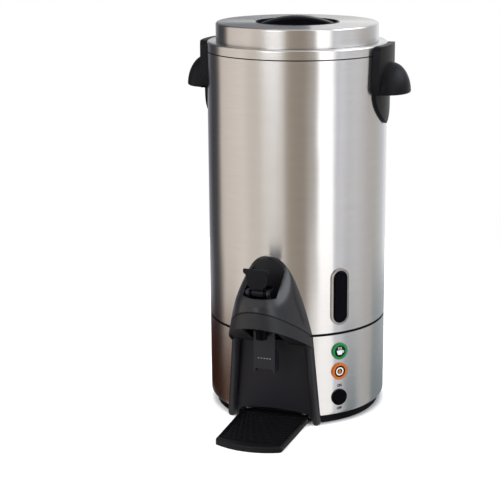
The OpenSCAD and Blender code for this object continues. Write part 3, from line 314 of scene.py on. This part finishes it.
def make_moulded(name, base, worn, sheen, specular=0.5, soften=0.0006, grain=2600.0, depth=GRAIN_DEPTH):
    """A moulded plastic or rubber: fine grain, a slow change of sheen, rounded and slightly paler edges."""
    material, tree, shader = new_material(name, Specular_IOR_Level=specular)
    made = use(tree, GRAIN, Grain=grain)
    edge = use(tree, EDGES, Round=soften)
    shade = mix_colour(tree, made["Rub"], colour(*base), darker(colour(*base), 0.75))
    shade = mix_colour(tree, edge["Mask"], shade, colour(*worn))
    link_surface(tree, shader, shade, between(tree, made["Rub"], *sheen))
    bump(tree, shader, made["Height"], depth, 0.3, edge["Normal"])
    return material


def near_seam(tree, y, z):
    """1 within a hair of the joint between the hood and the visor, where the light doesn't reach."""
    fall = math_node(tree, "MULTIPLY", math_node(tree, "ADD", y, SEAM_FROM * MM), SEAM_SLOPE)
    level = math_node(tree, "ADD", z, fall)
    off = math_node(tree, "ABSOLUTE", math_node(tree, "SUBTRACT", level, SEAM_Z * MM))
    return step_up(tree, off, SEAM_CLEAR * MM, SEAM_DARK * MM)


def make_hood_plastic():
    """The tap hood: satin outside, with painted shade on the wall behind the lever opening and along the
    seam to the visor.
    """
    material, tree, shader = new_material("hood_shell_plastic", Specular_IOR_Level=0.42)
    made = use(tree, GRAIN)
    edge = use(tree, EDGES, Round=0.001)
    place = here(tree)
    x, y, z = split(tree, place)
    opening_shade_mask = all_of(
        tree,
        math_node(tree, "LESS_THAN", math_node(tree, "ABSOLUTE", x), OPENING_HALF_W * MM),
        math_node(tree, "LESS_THAN", from_axis(tree, place), OPENING_WALL_R * MM),
        math_node(tree, "LESS_THAN", z, OPENING_TOP * MM),
    )
    # Painted shade: the recess behind the lever opening and the hair along the seam are mixed in as
    # near-black colour below.
    dark = math_node(tree, "MAXIMUM", opening_shade_mask, near_seam(tree, y, z))
    shade = mix_colour(tree, made["Rub"], colour(30, 31, 36), colour(26, 27, 32))
    shade = mix_colour(tree, edge["Mask"], shade, colour(46, 47, 52))
    shade = mix_colour(tree, dark, shade, colour(5, 6, 14))
    sheen = between(tree, made["Rub"], 0.22, 0.28)
    duller = math_node(tree, "MULTIPLY", dark, 0.35)
    link_surface(tree, shader, shade, math_node(tree, "ADD", sheen, duller))
    bump(tree, shader, made["Height"], GRAIN_DEPTH, 0.3, edge["Normal"])
    return material


def make_column_plastic():
    """The tap column: a satin visor and edge beads, and a dull panel behind the cup that is coloured dark as
    painted shade of the alcove, with painted shadow along the seam to the hood.
    """
    material, tree, shader = new_material("column_plastic", Specular_IOR_Level=0.32)
    made = use(tree, GRAIN)
    edge = use(tree, EDGES, Round=0.0009)
    x, y, z = split(tree, here(tree))
    # Painted shade on the recessed panel behind the cup, which lies in the alcove's shadow.
    panel_shade_mask = all_of(
        tree,
        math_node(tree, "LESS_THAN", math_node(tree, "ABSOLUTE", x), PANEL_HALF_W * MM),
        math_node(tree, "GREATER_THAN", y, PANEL_FRONT * MM),
        math_node(tree, "LESS_THAN", z, PANEL_TOP * MM),
    )
    shell = mix_colour(tree, made["Rub"], colour(33, 34, 38), colour(28, 29, 33))
    panel_shade = mix_colour(tree, made["Rub"], colour(19, 18, 28), colour(15, 14, 23))
    shade = mix_colour(tree, panel_shade_mask, shell, panel_shade)
    shade = mix_colour(tree, math_node(tree, "MULTIPLY", edge["Mask"], 0.6), shade, colour(46, 47, 52))
    # Painted shadow along the seam to the hood.
    shade = mix_colour(tree, near_seam(tree, y, z), shade, colour(3, 3, 6))
    sheen = between(tree, made["Rub"], 0.36, 0.44)
    duller = math_node(tree, "MULTIPLY", panel_shade_mask, 0.2)
    link_surface(tree, shader, shade, math_node(tree, "ADD", sheen, duller))
    bump(tree, shader, made["Height"], GRAIN_DEPTH, 0.3, edge["Normal"])
    return material


def make_lamp(name, rim, glow, strength):
    """The coloured rim of a pilot light: tinted plastic that glows a little, with painted shade darkening
    its corners.
    """
    material, tree, shader = new_material(
        name,
        Coat_Weight=0.15,
        Coat_Roughness=0.08,
        Specular_IOR_Level=0.25,
        Emission_Color=glow,
        Emission_Strength=strength,
    )
    made = use(tree, GRAIN, Wear=180.0)
    edge = use(tree, EDGES, Width=0.0014, Round=0.0008)
    shade = mix_colour(tree, made["Rub"], rim, glow)
    # Painted shade on the rim's corners.
    shade = mix_colour(tree, edge["Mask"], shade, darker(rim, 0.35))
    link_surface(tree, shader, shade, between(tree, made["Rub"], 0.14, 0.24))
    bump(tree, shader, made["Height"], POLISHED_DEPTH, 0.2, edge["Normal"])
    return material


def make_clear(name, tint, rough, ior):
    """A clear or tinted plastic or glass."""
    material, tree, shader = new_material(name, Transmission_Weight=1.0, IOR=ior)
    made = use(tree, GRAIN, Wear=90.0)
    shade = mix_colour(tree, made["Rub"], tint, darker(tint, 0.97))
    link_surface(tree, shader, shade, between(tree, made["Rub"], rough, rough * 2))
    return material


def make_ink(name, ink):
    """Printing ink, a little uneven."""
    material, tree, shader = new_material(name)
    made = use(tree, GRAIN, Wear=300.0)
    shade = mix_colour(tree, made["Rub"], ink, darker(ink, 0.8))
    link_surface(tree, shader, shade, between(tree, made["Rub"], 0.4, 0.55))
    return material


POLISHED = dict(specular=0.04, grain=900.0, depth=POLISHED_DEPTH)
CLEAR_FACE = dict(specular=0.05, grain=400.0, depth=0.5 * POLISHED_DEPTH)

# Dark and light tone, least and most roughness, and waves of wear per metre.
METALS = {
    "plain_steel": ((178, 176, 174), (206, 204, 201), (0.18, 0.3), 60.0),
    "bezel_steel": ((140, 136, 132), (166, 162, 158), (0.18, 0.3), 60.0),
    "zinc_steel": ((150, 150, 150), (188, 188, 186), (0.28, 0.42), 220.0),
    "pin_steel": ((50, 50, 54), (74, 74, 78), (0.3, 0.42), 220.0),
    "spring_steel": ((60, 60, 64), (88, 88, 92), (0.3, 0.42), 220.0),
    "brass_parts": ((190, 150, 90), (220, 186, 120), (0.2, 0.34), 150.0),
    "plate_alloy": ((150, 152, 154), (184, 186, 188), (0.35, 0.5), 40.0),
    "element_sheath": ((92, 88, 84), (128, 122, 116), (0.4, 0.55), 80.0),
}

# Tone, tone of worn edges, least and most roughness, and what differs from a plain moulding.
MOULDINGS = {
    "black_plastic": ((10, 11, 17), (20, 22, 29), (0.34, 0.46), dict(specular=0.13, soften=0.0012)),
    "lever_plastic": ((27, 27, 36), (50, 51, 59), (0.3, 0.42), dict(specular=0.3, soften=0.001)),
    "paddle_plastic": ((13, 13, 21), (52, 55, 63), (0.26, 0.36), dict(specular=0.14)),
    "tray_plastic": ((13, 13, 17), (27, 27, 32), (0.42, 0.55), dict(specular=0.2)),
    "pan_plastic": ((7, 7, 11), (14, 14, 18), (0.5, 0.62), dict(specular=0.08)),
    "gloss_black": ((4, 4, 9), (12, 12, 18), (0.16, 0.26), POLISHED),
    "tinted_window": ((4, 4, 11), (12, 12, 20), (0.03, 0.08), CLEAR_FACE),
    "gasket_rubber": ((4, 4, 8), (10, 10, 14), (0.5, 0.7), dict(specular=0.08)),
    "dial_black": ((7, 18, 15), (16, 28, 25), (0.3, 0.4), dict(specular=0.15)),
    "red_silicone": ((150, 40, 34), (170, 60, 50), (0.4, 0.5), {}),
    "white_nylon": ((222, 220, 212), (240, 238, 232), (0.35, 0.5), {}),
    "ceramic_body": ((196, 188, 172), (214, 208, 196), (0.6, 0.8), {}),
}

FINISHES = {
    "brushed_body": make_brushed_steel(),
    "hood_plastic": make_hood_plastic(),
    "column_plastic": make_column_plastic(),
    "clear_silicone": make_clear("clear_silicone", colour(225, 225, 220), 0.2, 1.41),
    "gauge_glass": make_clear("gauge_glass", colour(235, 240, 240), 0.02, 1.47),
    "green_lamp": make_lamp("green_lamp", colour(0, 96, 44), colour(0, 148, 72), 0.06),
    "orange_lamp": make_lamp("orange_lamp", colour(172, 68, 4), colour(222, 118, 12), 0.05),
}
FINISHES.update({name: make_metal(name, *values) for name, values in METALS.items()})
FINISHES.update({name: make_moulded(name, *values, **more) for name, (*values, more) in MOULDINGS.items()})

# Nodes whose finish isn't simply that of their record slot.
NODE_FINISHES = {
    "base_pan": "pan_plastic",
    "drip_tray": "tray_plastic",
    "gauge_bezel": "bezel_steel",
    "lever_pin": "pin_steel",
    "tap_column": "column_plastic",
    "thumb_lever": "paddle_plastic",
    "valve_spring": "spring_steel",
}

WHITE_INK = make_ink("white_ink", colour(236, 243, 238))
ORANGE_INK = make_ink("orange_ink", colour(206, 104, 28))
DARK_INK = make_ink("dark_ink", colour(18, 18, 26))
PALE_INK = make_ink("pale_ink", colour(150, 152, 162))


def finish_of(node, slot):
    """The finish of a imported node: its own, or else that of its record slot."""
    return FINISHES[NODE_FINISHES.get(node, slot)]


def finish_nodes():
    """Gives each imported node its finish."""
    for name, made in NODES.items():
        for holder in made.material_slots:
            holder.material = finish_of(name, holder.material.name.split(".")[0])


finish_nodes()


# ---------------------------------------------------------------- moulded parts with smooth walls

# In millimetres: points nearer than MERGE are one point, and edges shorter than SLIVER are closed up.
MERGE = 0.02
SLIVER = 0.01
# Edges sharper than this, in degrees, stay sharp.
CREASE = 27.0

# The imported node, its smooth copy, the body it rides on and its record slot.
SMOOTH_PARTS = [
    ("tap_hood", "hood_shell", "urn", "hood_plastic"),
    ("tap_column", "column_shell", "urn", "hood_plastic"),
    ("handle_left", "left_handle", "urn", "black_plastic"),
    ("handle_right", "right_handle", "urn", "black_plastic"),
    ("thumb_lever", "thumb_paddle", "thumb_lever", "lever_plastic"),
]


def add_piece(name, mesh, body):
    """A piece of the urn that rides on one of its bodies."""
    made = bpy.data.objects.new(name, mesh)
    bpy.context.scene.collection.objects.link(made)
    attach(made, body)
    return made


def smooth_part(node, name, body, slot):
    """A merged copy of a moulded node whose curved walls are shaded smooth; it stands for the node."""
    mesh = NODES[node].data.copy()
    mesh.name = name
    form = bmesh.new()
    form.from_mesh(mesh)
    bmesh.ops.remove_doubles(form, verts=form.verts, dist=MERGE * MM)
    bmesh.ops.dissolve_degenerate(form, edges=form.edges, dist=SLIVER * MM)
    form.to_mesh(mesh)
    form.free()
    mesh.materials.clear()
    mesh.materials.append(finish_of(node, slot))
    if "custom_normal" in mesh.attributes:
        mesh.attributes.remove(mesh.attributes["custom_normal"])
    mesh.shade_smooth()
    mesh.set_sharp_from_angle(angle=math.radians(CREASE))
    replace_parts(add_piece(name, mesh, body), node)


for smooth in SMOOTH_PARTS:
    smooth_part(*smooth)


# ---------------------------------------------------------------- printed marks


def on_dial(x, y, height):
    """A point on a pilot light's dial, x to the right and y up, for a dial whose middle is at a height."""
    turn = math.radians(CONTROL_TURN)
    out = BODY_R + DIAL_OUT + INK_LIFT
    across = Vector((math.cos(turn), math.sin(turn), 0.0))
    outward = Vector((math.sin(turn), -math.cos(turn), 0.0))
    return (outward * out + across * x + Vector((0, 0, height + y))) * MM


def on_wall(x, y, height):
    """A point just above the round wall, below or above the controls."""
    turn = math.radians(CONTROL_TURN) + (LETTER_SQUEEZE * x + LETTER_SHIFT) / BODY_R
    out = BODY_R + INK_LIFT
    return Vector((math.sin(turn) * out, -math.cos(turn) * out, height + y)) * MM


def on_flap(x, y, height):
    """A point on the face of the press flap."""
    return Vector((x, FLAP_Y - INK_LIFT, height + y)) * MM


def print_mesh(mesh, place, height):
    """Lays a flat mark, drawn in millimetres, on its surface."""
    for point in mesh.vertices:
        point.co = place(point.co.x, point.co.y, height)
    return mesh


def mesh_of(form, name, material):
    """The mesh of a finished form, with one material."""
    mesh = bpy.data.meshes.new(name)
    form.to_mesh(mesh)
    form.free()
    mesh.materials.append(material)
    return mesh


def outline_mesh(name, outlines, ink):
    """A flat mark of filled outlines, each a list of points that runs anticlockwise."""
    form = bmesh.new()
    for outline in outlines:
        form.faces.new([form.verts.new((x, y, 0.0)) for x, y in outline])
    bmesh.ops.triangulate(form, faces=form.faces)
    return mesh_of(form, name, ink)


def ring_parts(centre, inner, outer, first, last, steps):
    """The four-sided parts of a ring or of a stretch of one, between two angles in degrees."""
    parts = []
    for number in range(steps):
        turns = [math.radians(first + (last - first) * (number + end) / steps) for end in (0, 1)]
        corners = [(inner, turns[0]), (outer, turns[0]), (outer, turns[1]), (inner, turns[1])]
        parts.append([(centre[0] + r * math.cos(a), centre[1] + r * math.sin(a)) for r, a in corners])
    return parts


def geometry(tree, kind, inputs):
    """The geometry that a Geometry Nodes node of one kind puts out."""
    return add(tree, kind, inputs, family="GeometryNode").outputs[0]


def make_row_tree():
    """Geometry nodes that set out copies of one flat mark in a row, centred."""
    tree = bpy.data.node_groups.new("mark_row", "GeometryNodeTree")
    for label, kind in (("Mark", "Geometry"), ("Count", "Int"), ("Pitch", "Float"), ("Ink", "Material")):
        tree.interface.new_socket(label, in_out="INPUT", socket_type="NodeSocket" + kind)
    tree.interface.new_socket("Marks", in_out="OUTPUT", socket_type="NodeSocketGeometry")
    given = tree.nodes.new("NodeGroupInput").outputs
    gaps = math_node(tree, "SUBTRACT", given["Count"], 1.0)
    length = math_node(tree, "MULTIPLY", gaps, given["Pitch"])
    start = add(tree, "CombineXYZ", {0: math_node(tree, "MULTIPLY", length, -0.5)}).outputs[0]
    pitch = add(tree, "CombineXYZ", {0: given["Pitch"]}).outputs[0]
    places = geometry(tree, "MeshLine", {"Count": given["Count"], "Start Location": start, "Offset": pitch})
    copies = geometry(tree, "InstanceOnPoints", {"Points": places, "Instance": given["Mark"]})
    real = geometry(tree, "RealizeInstances", {0: copies})
    inked = geometry(tree, "SetMaterial", {"Geometry": real, "Material": given["Ink"]})
    tree.links.new(inked, tree.nodes.new("NodeGroupOutput").inputs["Marks"])
    return tree


ROW = make_row_tree()


def plain_mesh(carrier):
    """The finished mesh of an object that was only made to carry it."""
    mesh = bpy.data.meshes.new_from_object(carrier.evaluated_get(bpy.context.evaluated_depsgraph_get()))
    bpy.data.objects.remove(carrier)
    return mesh


def row_mesh(name, mark, count, pitch, ink):
    """A row of copies of a mark, as a plain mesh."""
    carrier = bpy.data.objects.new(name, mark)
    bpy.context.scene.collection.objects.link(carrier)
    modifier = carrier.modifiers.new("row", "NODES")
    modifier.node_group = ROW
    sockets = {item.name: item.identifier for item in ROW.interface.items_tree if item.in_out == "INPUT"}
    for label, value in (("Count", count), ("Pitch", pitch), ("Ink", ink)):
        modifier[sockets[label]] = value
    return plain_mesh(carrier)


def letters_mesh(name, words):
    """Plain letters as a flat mesh, centred."""
    curve = bpy.data.curves.new(name, "FONT")
    curve.body = words
    curve.size = LETTER_SIZE
    curve.align_x = "CENTER"
    curve.align_y = "CENTER"
    curve.offset = LETTER_WEIGHT * LETTER_SIZE
    carrier = bpy.data.objects.new(name, curve)
    bpy.context.scene.collection.objects.link(carrier)
    mesh = plain_mesh(carrier)
    mesh.materials.clear()
    mesh.materials.append(DARK_INK)
    return mesh


def cup_outlines():
    """A cup seen from the side, with its handle."""
    side = [(4.7, 1.4), (4.5, -0.9), (4.0, -2.7), (3.2, -4.1), (2.2, -4.9)]
    wall = side[:1] + [(-x, y) for x, y in side] + side[:0:-1]
    return [wall] + ring_parts((4.7, -0.9), 0.8, 1.9, -80, 100, 14)


def wisp_outline():
    """One curl of steam."""
    half_w, sway, foot, rise = 0.38, 0.42, 2.3, 0.5
    middle = [(sway * math.sin(step * math.pi / 4), foot + rise * step) for step in range(9)]
    return [(x + half_w, y) for x, y in middle] + [(x - half_w, y) for x, y in reversed(middle)]


def drop_outline():
    """A drop, point upwards."""
    radius, middle, tip = 2.3, -0.9, 3.6
    turns = [math.radians(150 + 240 * step / 14) for step in range(15)]
    return [(0.0, tip)] + [(radius * math.cos(a), middle + radius * math.sin(a)) for a in turns]


def pip_outline():
    """A round dot."""
    turns = [math.pi * step / 8 for step in range(16)]
    return [(PIP_R * math.cos(a), PIP_R * math.sin(a)) for a in turns]


def make_marks():
    """All the printing: the two dials, the switch's two positions and the press flap."""
    cup = outline_mesh("cup_mark", cup_outlines(), WHITE_INK)
    add_piece("cup_mark", print_mesh(cup, on_dial, GREEN_Z), "urn")
    wisp = outline_mesh("wisp", [wisp_outline()], WHITE_INK)
    steam = row_mesh("steam_mark", wisp, STEAM_COUNT, STEAM_PITCH, WHITE_INK)
    add_piece("steam_mark", print_mesh(steam, on_dial, GREEN_Z), "urn")
    ring = outline_mesh("heat_ring_mark", ring_parts((0, 0), *HEAT_RING, 0, 360, 48), WHITE_INK)
    add_piece("heat_ring_mark", print_mesh(ring, on_dial, ORANGE_Z), "urn")
    drop = outline_mesh("drop_mark", [drop_outline()], ORANGE_INK)
    add_piece("drop_mark", print_mesh(drop, on_dial, ORANGE_Z), "urn")
    above = letters_mesh("on_mark", "ON")
    add_piece("on_mark", print_mesh(above, on_wall, SWITCH_Z + ON_UP), "urn")
    below = letters_mesh("off_mark", "OFF")
    add_piece("off_mark", print_mesh(below, on_wall, SWITCH_Z + OFF_UP), "urn")
    pip = outline_mesh("pip", [pip_outline()], PALE_INK)
    pips = row_mesh("flap_pips", pip, PIP_COUNT, PIP_PITCH, PALE_INK)
    add_piece("flap_pips", print_mesh(pips, on_flap, FLAP_MARK_Z), "press_lever")


make_marks()


# ---------------------------------------------------------------- the studio, in metres and degrees

FLOOR_R = 0.95
RING_R = 3.0
RING_LOW = -1.5
RING_HIGH = 8.0
STUDIO_TURN = 18.0

# The studio wall as polished metal sees it: the turn from the studio's front, towards the right, and how
# bright the wall is there.
STUDIO = [
    (-180, (0.80, 0.79, 0.78)),
    (-165, (0.40, 0.40, 0.42)),
    (-146, (0.145, 0.145, 0.175)),
    (-138, (0.066, 0.068, 0.078)),
    (-124, (0.08, 0.078, 0.082)),
    (-117, (0.26, 0.225, 0.20)),
    (-111, (0.90, 0.81, 0.73)),
    (-72, (1.05, 0.95, 0.86)),
    (-62, (0.89, 0.81, 0.73)),
    (-24, (0.87, 0.81, 0.74)),
    (-18.5, (0.82, 0.75, 0.69)),
    (-13.5, (0.53, 0.47, 0.39)),
    (-6, (0.45, 0.385, 0.31)),
    (9, (0.42, 0.357, 0.30)),
    (13, (0.52, 0.46, 0.40)),
    (20, (0.58, 0.53, 0.50)),
    (24, (0.70, 0.67, 0.65)),
    (27.5, (2.1, 2.08, 2.06)),
    (43, (2.1, 2.08, 2.06)),
    (47, (1.2, 1.2, 1.2)),
    (50.5, (0.76, 0.76, 0.81)),
    (56, (0.94, 0.93, 0.99)),
    (62, (0.84, 0.83, 0.86)),
    (68, (0.75, 0.74, 0.76)),
    (78, (0.82, 0.81, 0.81)),
    (89, (0.76, 0.75, 0.75)),
    (100, (0.68, 0.64, 0.62)),
    (115, (0.66, 0.635, 0.60)),
    (134, (0.73, 0.74, 0.74)),
    (146, (0.90, 0.92, 0.96)),
    (160, (1.0, 1.0, 1.0)),
    (180, (0.9, 0.9, 0.9)),
]

# A patch of the studio is a list of its soft edges: what is measured, where the edge begins and where the
# patch is full. The two soft boxes are high up on the wall, where only tilted faces mirror them.
SOFT_BOXES = [
    (
        [("turn", -52.0, -36.0), ("turn", -12.0, -28.0), ("height", 0.6, 1.0), ("height", 1.9, 1.1)],
        (5.6, 5.8, 6.2, 1.0),
    ),
    (
        [("turn", 50.0, 66.0), ("turn", 124.0, 108.0), ("height", 1.3, 1.7), ("height", 5.0, 4.2)],
        (3.7, 3.8, 4.0, 1.0),
    ),
]

# What stands on the floor round the urn and is mirrored low down: brown at the left, slate grey at the right
# with a gap in it, and the light of the bright panel, which is no brighter on the floor than BAND_LIMIT.
BROWN = [("turn", -82.0, -98.0), ("away", 0.127, 0.155), ("away", 0.64, 0.41)]
BROWN_TURNS = (-126.0, -108.0)
BROWN_DEEP = (0.040, 0.011, 0.005, 1.0)
BROWN_PALE = (0.11, 0.045, 0.02, 1.0)
SLATE_SIDE = [("turn", 52.0, 74.0)]
SLATE_GAP = [("turn", 80.0, 98.0), ("turn", 124.0, 112.0)]
SLATE_NEAR = [("away", 0.85, 0.10)]
SLATE_BEHIND = [("turn", 112.0, 124.0), ("away", 0.90, 0.60)]
SLATE_SHARE = 0.75
SLATE = (0.26, 0.30, 0.32, 1.0)
BAND = [("turn", 8.0, 22.0), ("turn", 44.0, 32.0), ("away", 0.30, 0.45), ("away", 0.95, 0.70)]
BAND_LIMIT = (1.42, 1.38, 1.35, 1.0)

# The floor's lift: from nothing under the urn to OPEN_LIFT in the open, and more close to the base, where it
# is painted light that thins the urn's shadow.
UNDER_URN = (0.118, 0.134)
BESIDE_URN = (0.24, 0.14)
OPEN_LIFT = 0.30
BESIDE_LIFT = 0.52

# The dark card that the lid's flat top mirrors: its corners and its two greys.
CARD_CORNERS = [(-0.62, 0.30, 0.58), (-0.03, 0.16, 0.58), (-0.03, 0.16, 0.86), (-0.62, 0.30, 0.86)]
CARD_GREYS = ((0.13, 0.15, 0.18, 1.0), (0.22, 0.23, 0.25, 1.0))

# The lamps: place, what they point at, width, height and power in watts.
LAMPS = {
    "key": ((-1.3, -1.5, 1.7), (0, 0, 0.25), 1.4, 1.4, 34.0),
    "fill": ((1.7, -0.9, 1.1), (0, 0, 0.25), 0.9, 1.6, 16.0),
    "top": ((0, 0.2, 2.2), (0, 0, 0.3), 1.6, 1.6, 18.0),
}
WHITE = (1.0, 1.0, 1.0, 1.0)
SKY = (0.93, 0.96, 1.0, 1.0)
SKY_STRENGTH = 0.55

CAMERA_PLACE = (0.5902, -1.8166, 0.7369)
CAMERA_TILT = 76.35
CAMERA_TURN = 18.0
CAMERA_SENSOR = 36.0
CAMERA_LENS = 97.73
CAMERA_SHIFT = (-0.0946, -0.0678)


def make_studio_group():
    """The brightness of the studio by direction, and that direction in degrees. On the floor near a round
    wall of a given radius, the direction is the one in which the wall mirrors that place."""
    group, given, result = new_group(
        "studio_panels", [("Wall", 0.0)], [("Light", "Color"), ("Turn", "Float")]
    )
    place = here(group)
    back_turn = {"Vector": place, "Angle": -math.radians(STUDIO_TURN)}
    x, y, _ = split(group, add(group, "VectorRotate", back_turn, rotation_type="Z_AXIS").outputs[0])
    turn = math_node(group, "ARCTAN2", x, math_node(group, "MULTIPLY", y, -1.0))
    half_wall = math_node(group, "MULTIPLY", given["Wall"], 0.5)
    near = math_node(group, "DIVIDE", half_wall, from_axis(group, place))
    turn = math_node(group, "DIVIDE", turn, math_node(group, "SUBTRACT", 1.0, near))
    share = add(group, "MapRange", {"Value": turn, "From Min": -math.pi, "From Max": math.pi}).outputs[0]
    ramp = add(group, "ValToRGB", {0: share})
    stops = ramp.color_ramp.elements
    while len(stops) > 1:
        stops.remove(stops[0])
    for number, (angle, light) in enumerate(STUDIO):
        stop = stops[0] if number == 0 else stops.new((angle + 180) / 360)
        stop.position = (angle + 180) / 360
        stop.color = light + (1.0,)
    group.links.new(ramp.outputs[0], result["Light"])
    group.links.new(math_node(group, "MULTIPLY", turn, 180 / math.pi), result["Turn"])
    return group


PANELS = make_studio_group()


def stage_piece(name, mesh):
    """A piece of the studio, which isn't part of the urn."""
    obj = bpy.data.objects.new(name, mesh)
    bpy.context.scene.collection.objects.link(obj)
    return obj


def only_mirrored(obj):
    """Hides a piece of the studio from all but glossy rays."""
    obj.visible_camera = obj.visible_diffuse = obj.visible_shadow = False
    obj.visible_transmission = obj.visible_volume_scatter = False


def new_glow(name):
    """A material that only gives off light, and its tree and shader."""
    material = bpy.data.materials.new(name)
    material.use_nodes = True
    tree = material.node_tree
    tree.nodes.remove(tree.nodes["Principled BSDF"])
    glow = add(tree, "Emission")
    tree.links.new(glow.outputs[0], tree.nodes["Material Output"].inputs[0])
    return material, tree, glow


def patch(tree, edges, **measures):
    """1 inside all the soft edges of a patch."""
    return all_of(tree, *(step_up(tree, measures[name], start, full) for name, start, full in edges))


def over_floor(tree, light, turn, away):
    """The studio's light with what stands on the floor in front of it."""
    light = mix_colour(tree, 1.0, light, BAND_LIMIT, "DARKEN")
    light = mix_colour(tree, patch(tree, BAND, turn=turn, away=away), light, BAND_LIMIT)
    brown = mix_colour(tree, step_up(tree, turn, *BROWN_TURNS), BROWN_DEEP, BROWN_PALE)
    light = mix_colour(tree, patch(tree, BROWN, turn=turn, away=away), light, brown)
    gap = math_node(tree, "MULTIPLY", patch(tree, SLATE_GAP, turn=turn), SLATE_SHARE)
    side = math_node(tree, "SUBTRACT", patch(tree, SLATE_SIDE, turn=turn), gap)
    side = math_node(tree, "MULTIPLY", side, patch(tree, SLATE_NEAR, away=away))
    behind = math_node(tree, "MULTIPLY", patch(tree, SLATE_BEHIND, turn=turn, away=away), SLATE_SHARE)
    return mix_colour(tree, math_node(tree, "MAXIMUM", side, behind), light, SLATE)


def make_floor_material():
    """A pale floor. The lift shows only to rays that see the background, and the shadow stays, though
    painted light thins it close to the base.
    """
    material, tree, shader = new_material("floor_paint", Roughness=0.9, Emission_Color=WHITE)
    place = here(tree)
    away = from_axis(tree, place)
    paint = mix_colour(tree, noise(tree, place, 30.0), colour(236, 236, 236), colour(240, 240, 240))
    tree.links.new(paint, shader.inputs["Base Color"])
    ray = add(tree, "LightPath").outputs
    seen = math_node(tree, "MAXIMUM", ray["Is Camera Ray"], ray["Is Transmission Ray"])
    # Painted light beside the base, which thins the urn's shadow there.
    lift = between(tree, step_up(tree, away, *BESIDE_URN), OPEN_LIFT, BESIDE_LIFT)
    lift = all_of(tree, seen, lift, step_up(tree, away, *UNDER_URN))
    tree.links.new(lift, shader.inputs["Emission Strength"])
    panels = use(tree, PANELS, Wall=BODY_R * MM)
    glow = add(tree, "Emission", {"Color": over_floor(tree, panels["Light"], panels["Turn"], away)})
    both = add(tree, "MixShader", {0: ray["Is Glossy Ray"], 1: shader.outputs[0], 2: glow.outputs[0]})
    tree.links.new(both.outputs[0], tree.nodes["Material Output"].inputs[0])
    return material


def make_floor():
    """The round floor under the urn."""
    form = bmesh.new()
    bmesh.ops.create_circle(form, cap_ends=True, radius=FLOOR_R, segments=128)
    stage_piece("floor", mesh_of(form, "floor", make_floor_material()))


def make_studio_material():
    """The studio wall's light panels, dark cards and soft boxes."""
    material, tree, glow = new_glow("studio_wall")
    panels = use(tree, PANELS)
    height = split(tree, here(tree))[2]
    lit = panels["Light"]
    for edges, light in SOFT_BOXES:
        lit = mix_colour(tree, patch(tree, edges, turn=panels["Turn"], height=height), lit, light)
    tree.links.new(lit, glow.inputs["Color"])
    return material


def make_studio():
    """The wall of light panels and dark cards round the urn, seen only in reflections."""
    form = bmesh.new()
    depth = RING_HIGH - RING_LOW
    bmesh.ops.create_cone(form, cap_ends=False, segments=256, radius1=RING_R, radius2=RING_R, depth=depth)
    bmesh.ops.translate(form, vec=(0, 0, (RING_HIGH + RING_LOW) / 2), verts=form.verts)
    only_mirrored(stage_piece("studio_ring", mesh_of(form, "studio_ring", make_studio_material())))


def make_card():
    """A dark card behind and left of the lid, which only the lid's flat top mirrors."""
    material, tree, glow = new_glow("card_paper")
    tree.links.new(mix_colour(tree, noise(tree, here(tree), 6.0), *CARD_GREYS), glow.inputs["Color"])
    mesh = bpy.data.meshes.new("card")
    mesh.from_pydata(CARD_CORNERS, [], [(0, 1, 2, 3)])
    mesh.materials.append(material)
    only_mirrored(stage_piece("card", mesh))


def make_studio_lamp(name, place, target, width, height, power):
    """A soft lamp that lights the urn and isn't seen or mirrored."""
    data = bpy.data.lights.new(name, "AREA")
    data.shape = "RECTANGLE"
    data.size = width
    data.size_y = height
    data.energy = power
    obj = bpy.data.objects.new(name, data)
    bpy.context.scene.collection.objects.link(obj)
    aim = (Vector(target) - Vector(place)).to_track_quat("-Z", "Y").to_matrix().to_4x4()
    obj.matrix_world = Matrix.Translation(place) @ aim
    obj.visible_glossy = obj.visible_camera = False


def make_world():
    """A white background, and an even soft light from all round."""
    world = bpy.data.worlds.new("studio")
    bpy.context.scene.world = world
    world.use_nodes = True
    tree = world.node_tree
    tree.nodes.clear()
    ray = add(tree, "LightPath").outputs
    seen = math_node(tree, "MAXIMUM", ray["Is Camera Ray"], ray["Is Glossy Ray"])
    seen = math_node(tree, "MAXIMUM", seen, ray["Is Transmission Ray"])
    soft = add(tree, "Background", {"Color": SKY, "Strength": SKY_STRENGTH})
    white = add(tree, "Background", {"Color": WHITE, "Strength": 1.0})
    both = add(tree, "MixShader", {0: seen, 1: soft.outputs[0], 2: white.outputs[0]})
    tree.links.new(both.outputs[0], add(tree, "OutputWorld").inputs[0])


def make_camera():
    """The camera, a little above the lid and to the right of the tap."""
    data = bpy.data.cameras.new("camera")
    data.sensor_width = CAMERA_SENSOR
    data.lens = CAMERA_LENS
    data.shift_x, data.shift_y = CAMERA_SHIFT
    obj = bpy.data.objects.new("camera", data)
    bpy.context.scene.collection.objects.link(obj)
    obj.location = CAMERA_PLACE
    obj.rotation_euler = (math.radians(CAMERA_TILT), 0.0, math.radians(CAMERA_TURN))
    bpy.context.scene.camera = obj


make_floor()
make_studio()
make_card()
make_world()
for lamp, values in LAMPS.items():
    make_studio_lamp(lamp, *values)
make_camera()
bpy.context.scene.view_settings.view_transform = "Standard"
